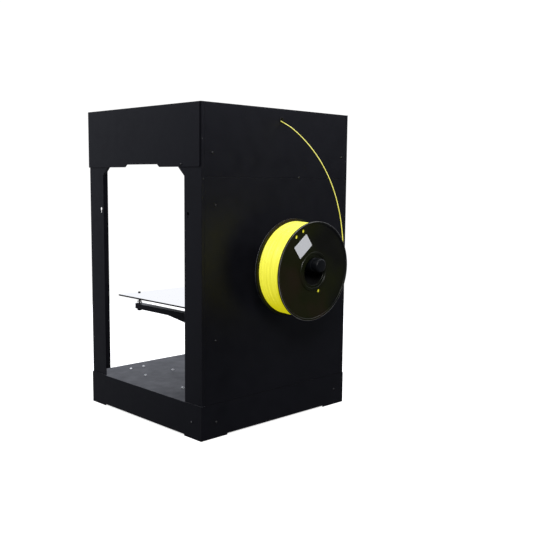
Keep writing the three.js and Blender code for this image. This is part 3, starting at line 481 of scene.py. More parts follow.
def rounded_rod(node, axis, chamfer=0.6, segments=48):
    """A round bar with chamfered ends, as long and as thick as its node."""
    low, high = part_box(node)
    index = "xyz".index(axis)
    length = (high[index] - low[index]) / MM
    radius = (high[(index + 1) % 3] - low[(index + 1) % 3]) / MM / 2
    start = (low + high) / 2
    start[index] = low[index]
    profile = [(0, 0), (radius - chamfer, 0), (radius, chamfer), (radius, length - chamfer),
               (radius - chamfer, length), (0, length)]
    stand_in(node, profile, start, (X, Y, Z)[index], segments=segments)


def drilled(made, cutters):
    """Cut holes through a finished piece and keep the result as its mesh."""
    for cutter in cutters:
        bpy.context.scene.collection.objects.link(cutter)
        modifier = made.modifiers.new("drill", "BOOLEAN")
        modifier.operation = "DIFFERENCE"
        modifier.solver = "EXACT"
        modifier.object = cutter
    depsgraph = bpy.context.evaluated_depsgraph_get()
    mesh = bpy.data.meshes.new_from_object(made.evaluated_get(depsgraph))
    made.modifiers.clear()
    made.data = mesh
    for cutter in cutters:
        bpy.data.objects.remove(cutter)
    return made


# ------------------------------------------------------------------ filament strand

# The strand's route in millimetres from the cabinet's middle, given point by point: through the
# rear panel, out and down in one bow, to where it leaves the winding.
STRAND_ROUTE = [
    (-2, 194, 640.3), (-2, 197.5, 639), (-2, 201, 637.3), (-2.1, 206, 635.2), (-2.3, 214, 631.4),
    (-3, 225, 625.8), (-4.6, 236, 618.1), (-7, 246.5, 609.6), (-10.5, 256, 600.2), (-14.5, 264.8, 590.2),
    (-19.2, 272.6, 579.4),
    (-24.2, 279.8, 567.7), (-29.6, 286.2, 555), (-35.1, 291.9, 541.3), (-40.7, 296.9, 526.7),
    (-46.3, 301.2, 510.9), (-51.7, 304.8, 493.9), (-56.7, 307.8, 475.7), (-61.4, 310.1, 456.2),
    (-65.6, 311.7, 435.4), (-69.2, 312.7, 413.1), (-72.1, 313, 389.3), (-74.1, 312.8, 364),
    (-74.9, 312.4, 337),
]
STRAND_DIAMETER = 1.75 * MM


def filament_strand():
    data = bpy.data.curves.new("filament_strand_fine", "CURVE")
    data.dimensions = "3D"
    data.bevel_depth = STRAND_DIAMETER / 2
    data.bevel_resolution = 5
    data.use_fill_caps = True
    data.resolution_u = 8
    spline = data.splines.new("BEZIER")
    spline.bezier_points.add(len(STRAND_ROUTE) - 1)
    for point, place in zip(spline.bezier_points, STRAND_ROUTE):
        point.co = at(*place)
        point.handle_left_type = "AUTO"
        point.handle_right_type = "AUTO"
    strand = place_object("filament_strand_fine", data, "strand", "cabinet")
    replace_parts(strand, "filament_strand")


filament_strand()

# ------------------------------------------------------------------ cabinet


def lower_rear_panel():
    """Lower rear panel, standing on a dark strip of painted shade so that its seam with the tray reads as a shadow
    line.
    """
    seam = 0.45 * MM
    low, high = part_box("rear_panel_lower")
    bm = cleaned("rear_panel_lower")
    for v in bm.verts:
        if abs(v.co.z - low.z) < 1e-5:
            v.co.z += seam
    bevel_sharp(bm, 0.0003, 2)
    made = from_bmesh("rear_panel_lower_fine", bm, slot_of("rear_panel_lower"), "cabinet", flats=True)
    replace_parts(made, "rear_panel_lower")
    # The dark strip under the panel is painted shade for the seam, not a real part of the cabinet.
    strip = (Vector((low.x + 2 * MM, high.y - 1.3 * MM, low.z - 0.26 * MM)),
             Vector((high.x - 2 * MM, high.y - 0.7 * MM, low.z + 0.5 * MM)))
    boxes("rear_panel_seam_shade_strip", [strip], "belt_rubber", "cabinet", 0.0001, 1)


def folded_tray():
    """Base tray with rounded folds at its upright corners and crisp edges elsewhere."""
    bm = cleaned("base_tray")
    folds = [e for e in bm.edges if e.is_manifold and e.calc_face_angle(0) > 1
             and (e.verts[0].co - e.verts[1].co).xy.length < 1e-6 and abs(e.verts[0].co.x) > 0.21
             and abs(e.verts[0].co.y) > 0.19]
    bmesh.ops.bevel(bm, geom=folds, offset=2.2 * MM, segments=4, profile=0.5, affect="EDGES",
                    clamp_overlap=True)
    bevel_sharp(bm, 0.00015, 2, 60)
    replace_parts(from_bmesh("base_tray_fine", bm, slot_of("base_tray"), "cabinet", flats=True), "base_tray")


for panel in ("side_frame_right", "side_frame_left", "rear_panel_upper", "hood", "spool_bracket",
              "base_plate"):
    refined(panel, 0.00045, 2)
lower_rear_panel()
folded_tray()


def screw_heads(name, places, axis, finish, body, radius=2.6, height=1.4, socket=1.3):
    """Button heads with a hexagon socket, one mesh for a set of like screws."""
    bm = bmesh.new()
    lip = socket + 0.3
    dome = [(r, h) for r, h in arc(0, 0, radius, height, steps=5)[:-1] if r > lip]
    recess = [(lip, height * 0.97), (socket, height * 0.93), (socket * 0.97, height * 0.25),
              (0, height * 0.2)]
    profile = [(0, -0.2), (radius, -0.2), *dome, *recess]

    def hexagon(angle, r, along):
        return r * hexagonal(angle, 0.9) if r <= socket and along > 0 else 0

    for place in places:
        add_turned(bm, profile, place, axis, 36, hexagon)
    return from_bmesh(name, bm, finish, body, 40)


# Places of the cabinet's screws, in millimetres: across and up on the rear panel, and along
# and up on the sides.
REAR_SCREWS = [(185, 568.5), (-194, 569.7), (-55.8, 522.9), (177, 467.2), (177, 199.1), (-182, 35.2),
               (174.4, 32.4)]
SIDE_SCREWS = [(168.5, 33.4), (137.2, 545.6)]
FRONT_SCREWS = [(185, 568.5), (-185, 568.5), (182, 33.4), (-182, 33.4)]
CHAMBER_SCREWS = [(135, -159.5), (99, -159.3), (146, -85), (68.5, -84.5), (149, 58), (-135, -159.5),
                  (-99, -159.3), (-146, -85), (-68.5, -84.5), (-149, 58)]


def cabinet_screws():
    screw_heads("rear_screws", [at(x, BACK_MM, z) for x, z in REAR_SCREWS], Y, "screw_black", "cabinet")
    screw_heads("front_screws", [at(x, -BACK_MM, z) for x, z in FRONT_SCREWS], -Y, "screw_black", "cabinet")
    for name, side in (("right", 1), ("left", -1)):
        places = [at(side * SIDE_MM, y, z) for y, z in SIDE_SCREWS if side > 0 or y != 168.5]
        screw_heads(f"side_screws_{name}", places, X * side, "screw_black", "cabinet")
    screw_heads("chamber_floor_screws", [at(x, y, FLOOR_MM) for x, y in CHAMBER_SCREWS], Z, "screw_steel",
                "cabinet", radius=3.6, height=2.6, socket=1.1)
    seat = middle("spool_bracket")
    face = BACK_MM + 2.8
    places = [at(seat.x / MM + dx, face, seat.z / MM + dz) for dx in (-17, 17) for dz in (-23, 23)]
    screw_heads("bracket_screws", places, Y, "screw_black", "cabinet", radius=3.4, height=2.0, socket=1.5)


cabinet_screws()


def corner_hole_plugs():
    """Small rivet on each rear corner strip and the plug of the hole below it."""
    rivets = [at(side * 210.5, BACK_MM, 594) for side in (1, -1)]
    screw_heads("corner_rivets", rivets, Y, "screw_black", "cabinet", radius=1.3, height=0.6, socket=0.5)
    plugs = [at(side * 207.6, BACK_MM, 517.7) for side in (1, -1)]
    screw_heads("corner_plugs", plugs, Y, "dark_plastic", "cabinet", radius=1.9, height=0.5, socket=0.9)


corner_hole_plugs()

# ------------------------------------------------------------------ spool

SPOOL_AXIS = Vector(joint("spool_spin")["axis"]).normalized()
SPOOL_FACE = at(21.4, 319.14, 337)         # centre of the outer flange's face
ACROSS = X
UPWARD = ACROSS.cross(SPOOL_AXIS).normalized()

# Radii, and distances measured outwards along the spool's axis from the outer flange's face.
BORE, RIM, WINDING = 28, 100, 95
SPOOL_WIDTH, FLANGE, LIP, LIP_PROUD = 64.5, 3.2, 4.5, 0.9
HUB, HUB_WALL = 40, 2.5
COLLAR_INNER, COLLAR_OUTER, COLLAR_PROUD = 34, 39.5, 1.4
FLANGE_HOLE = 3.8
FLANGE_HOLES = [(89.5, 52.7), (89.5, 66.3), (44.2, 247)]
RIM_HIGHLIGHT_BAND = 0.8                             # width of the band of painted highlight round a flange's rim


def flange_profile(inside, outside, out):
    r = 0.5
    lip = outside + out * LIP_PROUD
    step = lip - out * RIM_HIGHLIGHT_BAND
    collar = outside + out * COLLAR_PROUD
    return [
        (BORE, inside + out * r), (BORE + r, inside), (RIM - r, inside),
        (RIM - r * 0.3, inside + out * r * 0.3),
        (RIM, inside + out * r), (RIM, step), (RIM - RIM_HIGHLIGHT_BAND, step), (RIM - RIM_HIGHLIGHT_BAND, lip),
        (RIM - LIP + r, lip), (RIM - LIP, lip - out * r), (RIM - LIP - r, outside),
        (COLLAR_OUTER + r, outside), (COLLAR_OUTER, outside + out * r), (COLLAR_OUTER - r, collar),
        (COLLAR_INNER + r, collar), (COLLAR_INNER, outside + out * r), (COLLAR_INNER - r, outside),
        (BORE + r, outside), (BORE, outside - out * r),
    ]


def rim_highlight_profile(lip, out):
    """The band of painted highlight let into the corner of a flange's lip."""
    inner, step, r = RIM - RIM_HIGHLIGHT_BAND, lip - out * RIM_HIGHLIGHT_BAND, 0.35
    return [(inner, step), (RIM, step), (RIM, lip - out * r), (RIM - r * 0.3, lip - out * r * 0.3),
            (RIM - r, lip), (inner, lip)]


def flange_drill(distance, degrees, along):
    """A drill through a flange, along the spool's axis."""
    angle = math.radians(degrees)
    place = SPOOL_FACE + (ACROSS * math.cos(angle) + UPWARD * math.sin(angle)) * distance * MM
    bm = bmesh.new()
    low, high = along
    add_turned(bm, [(0, low), (FLANGE_HOLE, low), (FLANGE_HOLE, high), (0, high)], place, SPOOL_AXIS, 32)
    bmesh.ops.recalc_face_normals(bm, faces=bm.faces)
    data = bpy.data.meshes.new("drill")
    bm.to_mesh(data)
    bm.free()
    return bpy.data.objects.new("drill", data)


def winding_profile():
    """Strand after strand across the spool, a little uneven from turn to turn."""
    low = -SPOOL_WIDTH + FLANGE + 0.35
    high = -FLANGE - 0.35
    turns = int((high - low) / 1.76)
    pitch = (high - low) / turns
    steps = 5
    rng = random.Random(4)
    profile = [(HUB + 0.4, low), (WINDING - 1.6, low)]
    for i in range(turns):
        drop = rng.uniform(0, 0.5) + (0.8 if i in (0, turns - 1) else 0)
        for k in range(steps):
            a = math.pi * (k + 0.5) / steps
            radius = WINDING - 0.875 - drop + 0.875 * math.sin(a)
            profile.append((radius, low + pitch * (i + 0.5) - 0.86 * math.cos(a)))
    return profile + [(WINDING - 1.6, high), (HUB + 0.4, high)]


def hub_profile():
    low = -SPOOL_WIDTH + FLANGE + 0.3
    high = -FLANGE - 0.3
    web = 1.5
    centre = (low + high) / 2
    core = HUB - HUB_WALL
    bore = BORE + HUB_WALL
    return [(BORE, low), (bore, low), (bore, centre - web), (core, centre - web), (core, low), (HUB, low),
            (HUB, high), (core, high), (core, centre + web), (bore, centre + web), (bore, high), (BORE, high)]


def spool():
    far = -SPOOL_WIDTH
    flanges = (
        ("spool_flange_outer", flange_profile(-FLANGE, 0, 1), (-8, 8)),
        ("spool_flange_inner", flange_profile(far + FLANGE, far, -1), (far - 8, far + 8)),
    )
    for node, profile, along in flanges:
        made = turned(node + "_fine", profile, SPOOL_FACE, SPOOL_AXIS, "smoked_plastic", "spool", 160)
        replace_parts(drilled(made, [flange_drill(*hole, along) for hole in FLANGE_HOLES]), node)
    # Pale rings of painted highlight round the rims of both flanges.
    for name, lip, out in (("rim_highlight_outer", LIP_PROUD, 1), ("rim_highlight_inner", far - LIP_PROUD, -1)):
        turned(f"spool_{name}", rim_highlight_profile(lip, out), SPOOL_FACE, SPOOL_AXIS, "smoked_rim_painted_highlight", "spool", 160)
    stand_in("filament_winding", winding_profile(), SPOOL_FACE, SPOOL_AXIS, "filament", 160, 80)
    stand_in("spool_hub", hub_profile(), SPOOL_FACE, SPOOL_AXIS, "spool_core", 96)


spool()


def spool_label():
    """Blank paper label stuck askew on the outer flange, with its corners slightly rounded."""
    centre = SPOOL_FACE + (ACROSS * 35.3 + UPWARD * 51.9) * MM + SPOOL_AXIS * 0.05 * MM
    half_u, half_v, corner = 14.75, 20.6, 1.2
    turn = math.radians(51.2)
    u = ACROSS * math.cos(turn) + UPWARD * math.sin(turn)
    v = UPWARD * math.cos(turn) - ACROSS * math.sin(turn)
    ring = []
    for sign_u, sign_v, start in ((1, 1, 0), (-1, 1, 90), (-1, -1, 180), (1, -1, 270)):
        for k in range(5):
            a = math.radians(start + 22.5 * k)
            across = sign_u * (half_u - corner) + corner * math.cos(a)
            along = sign_v * (half_v - corner) + corner * math.sin(a)
            ring.append(centre + (u * across + v * along) * MM)
    bm = bmesh.new()
    low = [bm.verts.new(p) for p in ring]
    high = [bm.verts.new(p + SPOOL_AXIS * 0.14 * MM) for p in ring]
    bm.faces.new(low)
    bm.faces.new(high)
    skin(bm, [low, high])
    from_bmesh("spool_label", bm, "paper", "spool")


spool_label()

# The shaft stands above the spool's axis, because the spool hangs on its top.
SHAFT, STUB, SHAFT_RISE = 13.7, 14.3, 14.0
SHAFT_PLACE = SPOOL_FACE + UPWARD * SHAFT_RISE * MM


def spool_shaft():
    start = STUB - 119.3
    neck = 0.9
    end = 19
    nose = 3.2
    waist = 11.8
    profile = [(0, start), (SHAFT - 0.5, start), (SHAFT, start + 0.5), (SHAFT, neck - 0.3),
               (waist, neck + 0.5), (waist, neck + 3.5), (SHAFT - 0.4, neck + 4.5), (SHAFT, neck + 5.0),
               *arc(SHAFT - nose, end - nose, nose, nose), (0, end)]
    stand_in("spool_shaft", profile, SHAFT_PLACE, SPOOL_AXIS, "shaft_black", 96)


def filament_guide():
    """Turned plastic bush in the rear panel with a wide bell mouth."""
    profile = [(1.9, -5.7), (4.1, -5.7), (4.6, -5.2), (4.6, 0.3), (6.5, 0.3), *arc(5.8, 0.3, 0.7, 0.8),
               (4.3, 0.6), (3.7, -0.4), (3.0, -1.8), (2.4, -3.3), (1.9, -4.6)]
    stand_in("filament_guide", profile, at(-2, BACK_MM, 640.4), Y, "belt_rubber", 48)


spool_shaft()
filament_guide()

# ------------------------------------------------------------------ build platform

LIFT_Y, ROD_X, ARM_X = 150, 70, 103        # the lift's place, its rods and the bed arms, in millimetres

for node in ("bed_arm_right", "bed_arm_left", "z_carriage", "z_bracket"):
    refined(node, 0.0005, 2)
refined("bed_heater", 0.0008, 2)


def bed_layers():
    """Black carrier plate with a thin mirror bonded on it."""
    low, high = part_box("bed_plate")
    half_way = (low.z + high.z) / 2
    seam = high.z - 0.7 * MM
    for name, finish, bottom, top in (("bed_plate_fine", "inner_steel", low.z, seam),
                                      ("bed_mirror", "bed_surface", seam, high.z)):
        bm = cleaned("bed_plate")
        for vertex in bm.verts:
            vertex.co.z = bottom if vertex.co.z < half_way else top
        bevel_sharp(bm, 0.0002, 2)
        made = from_bmesh(name, bm, finish, "platform", flats=True)
        if finish == "inner_steel":
            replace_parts(made, "bed_plate")


bed_layers()
for side in ("right", "left"):
    rounded_rod(f"z_rod_{side}", "z", 1.0, 64)


def level_screw(corner):
    """Flat-headed levelling screw with a knurled thumb nut below the arm."""
    node = f"level_screw_{corner}"
    low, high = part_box(node)
    place = (low + high) / 2
    place.z = low.z
    tall = (high.z - low.z) / MM
    head = tall - 1.9
    nut = 4.8
    profile = [(0, 0), (4.5, 0), (5.2, 0.5), (5.2, nut - 0.5), (4.7, nut), (1.5, nut), (1.5, head),
               (3.0, head), (3.2, head + 0.2), (3.2, head + 0.9), (2.7, head + 1.5), (1.7, tall),
               (1.3, tall), (1.1, tall - 0.9), (0, tall - 0.9)]

    def knurl(angle, radius, along):
        return 0.18 * math.cos(angle * 24) - 0.18 if 0.2 < along < nut - 0.2 and radius > 5 else 0

    stand_in(node, profile, place, Z, "spring_steel", 96, ripple=knurl)


def level_spring(corner, side, y):
    """Conical spring between the arm and the bed plate, wide at its foot."""
    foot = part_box("bed_arm_right")[1].z / MM + 0.7
    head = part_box("bed_plate")[0].z / MM - 0.7
    turns, steps, wire = 6.5, 24, 0.8
    points = []
    for i in range(int(turns * steps) + 1):
        share = i / (turns * steps)
        radius = 2.3 + 3.6 * (1 - share) ** 1.7
        angle = TAU * i / steps
        across = side * ARM_X + radius * math.cos(angle)
        points.append(at(across, y + radius * math.sin(angle), foot + (head - foot) * share))
    bm = bmesh.new()
    add_tube(bm, points, wire * MM, 8)
    from_bmesh(f"level_spring_{corner}", bm, "spring_steel", "platform", 60)


for end, y in (("front", -168), ("rear", 60)):
    for hand, side in (("right", 1), ("left", -1)):
        level_screw(f"{end}_{hand}")
        level_spring(f"{end}_{hand}", side, y)


def lift_details():
    """Flanged bearings on the rods, the screw's nut and the rods' feet."""
    low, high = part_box("z_carriage")
    top = high.z / MM
    base = low.z / MM
    flange = [(6.6, 0), (14.2, 0), (14.6, 0.4), (14.6, 3.6), (14.2, 4), (6.6, 4)]
    foot = [(6.3, 0), (13, 0), (13.5, 0.5), (13.5, 2.6), (13, 3.1), (9.5, 3.1), (9.1, 3.5), (9.1, 11.5),
            (8.6, 12), (6.3, 12)]
    nut = [(4.6, -8), (5.4, -8), (5.4, 0), (10.6, 0), (11, 0.4), (11, 3.1), (10.6, 3.5), (5.4, 3.5),
           (5.4, 9), (4.6, 9)]
    for name, x in (("right", ROD_X), ("left", -ROD_X)):
        for level, height in (("top", top), ("bottom", base - 4)):
            place = at(x, LIFT_Y, height)
            turned(f"bearing_flange_{level}_{name}", flange, place, Z, "steel_rod", "platform")
        places = [at(x + dx, LIFT_Y + dy, top + 4) for dx, dy in bolt_circle(11.6)]
        screw_heads(f"bearing_screws_{name}", places, Z, "screw_black", "platform", 1.9, 1.3, 0.9)
        turned(f"rod_foot_{name}", foot, at(x, LIFT_Y, FLOOR_MM), Z, "aluminium", "cabinet")
    turned("screw_nut", nut, at(0, LIFT_Y, top), Z, "brass", "platform")
    places = [at(dx, LIFT_Y + dy, top + 3.5) for dx, dy in bolt_circle(8)]
    screw_heads("screw_nut_screws", places, Z, "screw_black", "platform", 1.5, 1.1, 0.7)


lift_details()


def lift_screw():
    """Four-start trapezoidal screw standing in a slotted coupler."""
    low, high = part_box("z_screw")
    tall = (high.z - low.z) / MM
    coupler = 20
    starts, lead, depth = 4, 8, 0.55
    sides, rise = 40, 0.5
    bm = bmesh.new()
    place = at(0, LIFT_Y, low.z / MM)
    rings = []
    rows = int((tall - coupler) / rise)
    for k in range(rows + 1):
        height = coupler + (tall - coupler) * k / rows
        ring = []
        for i in range(sides):
            phase = (starts * (i / sides - height / lead)) % 1
            tooth = min(1, max(0, 2.6 * abs(phase - 0.5) * 2 - 0.8))
            r = (4 - depth * tooth) * MM
            angle = TAU * i / sides
            ring.append(bm.verts.new(place + Vector((r * math.cos(angle), r * math.sin(angle), height * MM))))
        rings.append(ring)
    skin(bm, rings)
    bm.faces.new(rings[0])
    bm.faces.new(rings[-1])
    slots = []
    for k in range(5):
        z = 6 + 1.9 * k
        slots += [(9.5, z), (7.6, z + 0.15), (7.6, z + 0.65), (9.5, z + 0.8)]
    clamp = [(0, 0), (9, 0), (9.5, 0.5), *slots, (9.5, coupler - 0.5), (9, coupler), (0, coupler)]
    add_turned(bm, clamp, place, Z, 64)
    made = from_bmesh("z_screw_fine", bm, "steel_rod", "lift_screw", 40)
    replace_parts(made, "z_screw")


lift_screw()

# ------------------------------------------------------------------ motors

MOTOR_HALF = 21                            # half a motor's width, in millimetres


def add_square_ring(bm, place, axis, half, chamfer, hole, depth, width=0.4):
    """Add a square block with cut corners and a round hole along an axis."""
    matrix = Matrix.Translation(place) @ turn_to(axis)
    count = 64

    def outline(size):
        ring = []
        for i in range(count):
            a = TAU * i / count
            c, s = abs(math.cos(a)), abs(math.sin(a))
            ring.append(((2 * size - chamfer) / max((2 * size - chamfer) * max(c, s) / size, c + s), a))
        return ring

    levels = [(hole, 0), (half - width, 0), (half, width), (half, depth - width), (half - width, depth),
              (hole, depth)]
    rings = []
    for size, along in levels:
        shape = [(hole, TAU * i / count) for i in range(count)] if size == hole else outline(size)
        rings.append([bm.verts.new(matrix @ Vector((r * math.cos(a) * MM, r * math.sin(a) * MM, along * MM)))
                      for r, a in shape])
    skin(bm, rings, closed=True)


def stepper(node, place, axis, length, hole=3.0, boss=None):
    """Stepper motor: laminated body between two cast end caps, with its four long screws."""
    body, half = body_of(node), MOTOR_HALF
    axis = Vector(axis)
    cap = 9.0
    bm = bmesh.new()
    add_square_ring(bm, place + axis * (cap - 0.5) * MM, axis, half - 0.5, 9, hole, length - 2 * cap + 1.0)
    if boss:
        register = [(hole, length - 0.5), (11, length - 0.5), (11, boss - 0.3), (10.7, boss), (hole, boss)]
        add_turned(bm, register, place, axis, 48)
    made = from_bmesh(node + "_fine", bm, "motor_black", body, 30, flats=True)
    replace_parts(made, node)
    bm = bmesh.new()
    add_square_ring(bm, place, axis, half, 6, hole, cap)
    add_square_ring(bm, place + axis * (length - cap) * MM, axis, half, 6, hole, cap)
    from_bmesh(node + "_end_caps", bm, "aluminium", body, 30, flats=True)
    matrix = turn_to(axis)
    places = [place + matrix @ Vector((u * 15.5 * MM, v * 15.5 * MM, 0)) for u in (-1, 1) for v in (-1, 1)]
    screw_heads(node + "_screws", places, -axis, "screw_black", body, 2.4, 0.25, 1.2)


def motors():
    low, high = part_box("z_motor")
    stepper("z_motor", at(0, LIFT_Y, low.z / MM), Z, 36, boss=(high.z - low.z) / MM)
    low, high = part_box("x_motor")
    centre = middle("x_motor")
    stepper("x_motor", Vector((centre.x, high.y, centre.z)), -Y, (high.y - low.y) / MM)
    for node, hole in (("y_motor", 4.5), ("extruder_motor", 3.0)):
        low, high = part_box(node)
        centre = middle(node)
        stepper(node, Vector((low.x, centre.y, centre.z)), X, (high.x - low.x) / MM, hole)


motors()

# ------------------------------------------------------------------ gantry

for node in ("gantry_rail_rear", "gantry_rail_front", "y_slider_right", "y_slider_left", "head_carriage",
             "idler_lever"):
    refined(node, 0.0005, 2)
for side in ("right", "left"):
    rounded_rod(f"y_rod_{side}", "y")
for side in ("front", "rear"):
    rounded_rod(f"x_rod_{side}", "x")


def toothed_belt(node, axis, wheels, level, centre):
    """Closed toothed belt: straight runs between two wheels, its teeth on the inside."""
    outer, land, tooth, half, pitch = 9.8, 9.0, 8.35, 3.0, 2.0
    first, last = wheels
    run = last - first
    bend = math.pi * 9
    length = 2 * (run + bend)
    count = int(length / pitch)

    def point(s, radius):
        s %= length
        if s < run:
            return first + s, level - radius
        if s < run + bend:
            a = -math.pi / 2 + math.pi * (s - run) / bend
            return last + radius * math.cos(a), level + radius * math.sin(a)
        if s < 2 * run + bend:
            return last - (s - run - bend), level + radius
        a = math.pi / 2 + math.pi * (s - 2 * run - bend) / bend
        return first + radius * math.cos(a), level + radius * math.sin(a)

    def place(along, height, across):
        return at(across, along, height) if axis == "x" else at(along, across, height)

    bm = bmesh.new()
    rings = []
    for k in range(count):
        for share, inner in ((0.0, land), (0.28, land), (0.4, tooth), (0.85, tooth)):
            s = length * (k + share) / count
            corners = ((outer, -half), (outer, half), (inner, half), (inner, -half))
            rings.append([bm.verts.new(place(*point(s, radius), centre + across))
                          for radius, across in corners])
    skin(bm, rings, closed=True)
    made = from_bmesh(node + "_fine", bm, "belt_rubber", body_of(node), 30)
    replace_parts(made, node)


def belts():
    low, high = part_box("x_belt")
    y = (middle("x_belt").y - MID_Y) / MM
    toothed_belt("x_belt", "y", (low.x / MM + 9.8, high.x / MM - 9.8), middle("x_belt").z / MM, y)
    for side in ("right", "left"):
        node = f"y_belt_{side}"
        low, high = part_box(node)
        wheels = ((low.y - MID_Y) / MM + 9.8, (high.y - MID_Y) / MM - 9.8)
        toothed_belt(node, "x", wheels, middle(node).z / MM, middle(node).x / MM)


belts()


def wheel_profile(centre, ends, shaft):
    """Flanged pulley on its shaft, from one end to the other."""
    half, flange, rim, groove = 3.3, 0.9, 10, 8
    outer = half + flange
    return [
        (0, ends[0]), (shaft, ends[0]),
        (shaft, centre - outer), (rim - 0.2, centre - outer),
        (rim, centre - outer + 0.2), (rim, centre - half),
        (groove, centre - half), (groove, centre + half),
        (rim, centre + half), (rim, centre + outer - 0.2),
        (rim - 0.2, centre + outer), (shaft, centre + outer),
        (shaft, ends[1]), (0, ends[1]),
    ]


def wheels():
    for side in ("right", "left"):
        node = f"y_idler_{side}"
        low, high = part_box(node)
        half = (high.x - low.x) / MM / 2
        stand_in(node, wheel_profile(0, (-half, half), 2.5), middle(node), X)
    for node in ("x_pulley", "x_idler"):
        low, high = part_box(node)
        centre = middle(node)
        belt = middle("x_belt").y
        origin = Vector((centre.x, belt, centre.z))
        stand_in(node, wheel_profile(0, ((low.y - belt) / MM, (high.y - belt) / MM), 2.5), origin, Y)
    low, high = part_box("y_shaft")
    reach = high.x / MM
    belt = middle("y_belt_right").x / MM
    left = wheel_profile(-belt, (-reach, 0), 4)[1:-2]
    right = wheel_profile(belt, (0, reach), 4)[2:-1]
    centre = middle("y_shaft")
    stand_in("y_shaft", [(0, -reach), *left, *right, (0, reach)], Vector((0, centre.y, centre.z)), X)


wheels()

# ------------------------------------------------------------------ print head


def heat_sink():
    low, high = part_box("heat_sink")
    tall = (high.z - low.z) / MM
    fins = 9
    pitch = tall / (2 * fins - 1)
    profile = [(0, 0)]
    for i in range(fins):
        base = 2 * i * pitch
        profile += [(5.5, base)] if i else []
        profile += [(11 - 0.2, base), (11, base + 0.2), (11, base + pitch - 0.2), (11 - 0.2, base + pitch)]
        profile += [(5.5, base + pitch)] if i < fins - 1 else []
    profile.append((0, tall))
    centre = middle("heat_sink")
    stand_in("heat_sink", profile, Vector((centre.x, centre.y, low.z)), Z, "aluminium")


def hot_end():
    refined("heater_block", 0.0005, 2)
    low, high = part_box("nozzle")
    tall = (high.z - low.z) / MM
    centre = middle("nozzle")

    def hexagon(angle, radius, along):
        return radius * hexagonal(angle, 0.88) if radius > 3 and along > 2 else 0

    profile = [(0, 0.6), (0.25, 0.6), (0.25, 0), (0.6, 0), (2.4, 1.9), (3.5, 2.0), (3.6, 2.1), (3.6, tall),
               (0, tall)]
    stand_in("nozzle", profile, Vector((centre.x, centre.y, low.z)), Z, "brass", 72, ripple=hexagon)


def drive_gear():
    """Hobbed gear on the extruder motor's shaft, waisted where it grips the filament."""
    centre = middle("drive_gear")
    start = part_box("drive_gear")[0].x / MM

    def hobbed(angle, radius, _):
        return -0.35 * (0.5 + 0.5 * math.cos(angle * 30)) if radius > 5 else 0

    profile = [(0, start), (2.5, start), (2.5, -5.5), (5.8, -5.5), (6, -5.3), (6, -2), (5.6, -0.8), (5.4, 0),
               (5.6, 0.8), (6, 2), (6, 5.3), (5.8, 5.5), (0, 5.5)]
    stand_in("drive_gear", profile, Vector((0, centre.y, centre.z)), X, "steel_rod", 120, ripple=hobbed)


def head_fan():
    """Small axial fan on the heat sink: square frame, hub and swept blades."""
    centre = middle("heat_sink")
    half, depth = 12.8, 7
    place = Vector((centre.x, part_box("heat_sink")[0].y - 0.5 * MM, centre.z))
    bm = bmesh.new()
    add_square_ring(bm, place, -Y, half, 4, half - 1.6, depth)
    from_bmesh("fan_frame", bm, "dark_plastic", "head", 30)
    bm = bmesh.new()
    add_turned(bm, [(0, 1), (4.6, 1), (5, 1.4), (5, 5.6), (4.6, 6), (0, 6)], place, -Y, 40)
    blades, steps = 7, 8
    root, tip = 4.8, 11.2
    chord = ((0, 1.6), (0.35, 3.2), (0.62, 5.0))       # each point's angle behind the lead, and height
    matrix = Matrix.Translation(place) @ turn_to(-Y)

    def blade_point(radius, angle, height):
        flat = Vector((radius * math.cos(angle), radius * math.sin(angle), height))
        return bm.verts.new(matrix @ (flat * MM))

    for k in range(blades):
        sheets = []
        for thick in (0.0, 0.5):
            rows = []
            for i in range(steps + 1):
                radius = root + (tip - root) * i / steps
                lead = TAU * k / blades + 0.25 * i / steps
                rows.append([blade_point(radius, lead + behind, height + thick) for behind, height in chord])
            sheets.append(rows)
        front, rear = sheets
        for rows in (front, rear):
            for a, b in zip(rows, rows[1:]):
                for c in range(2):
                    bm.faces.new([a[c], a[c + 1], b[c + 1], b[c]])
        rim = [r[0] for r in front] + front[-1][1:] + [r[2] for r in reversed(front[:-1])] + [front[0][1]]
        back = [r[0] for r in rear] + rear[-1][1:] + [r[2] for r in reversed(rear[:-1])] + [rear[0][1]]
        skin(bm, [rim, back])
    from_bmesh("fan_rotor", bm, "dark_plastic", "head", 40)


heat_sink()
hot_end()
drive_gear()
head_fan()

# ------------------------------------------------------------------ controls and electronics


def control_knob():
    """Turned knob with grip flutes and a pointer line, on the front of the base."""
    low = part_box("control_knob")[0]
    centre = middle("control_knob")
    length = (at(0, -BACK_MM, 0).y - low.y) / MM - 0.3
    place = Vector((centre.x, low.y, centre.z))

    def flutes(angle, radius, along):
        return -0.45 * (0.5 + 0.5 * math.cos(angle * 30)) if radius > 10.4 and 2 < along < length - 1 else 0

    rim, nose, shaft = 11, 1.5, 3
    profile = [(0, 0.5), (7.5, 0.5), (8.0, 0), *arc(rim - nose, nose, nose, nose, start=-90), (rim, 2.3),
               (rim, length - 1.2), (rim, length), (shaft, length), (shaft, length + 10), (0, length + 10)]
    stand_in("control_knob", profile, place, Y, "dark_plastic", 180, ripple=flutes)
    line_low = place + Vector((-0.5, 0.25, 2.2)) * MM
    line_high = place + Vector((0.5, 0.55, 7.0)) * MM
    boxes("knob_pointer", [(line_low, line_high)], "screw_steel", "knob", 0.0001, 1)


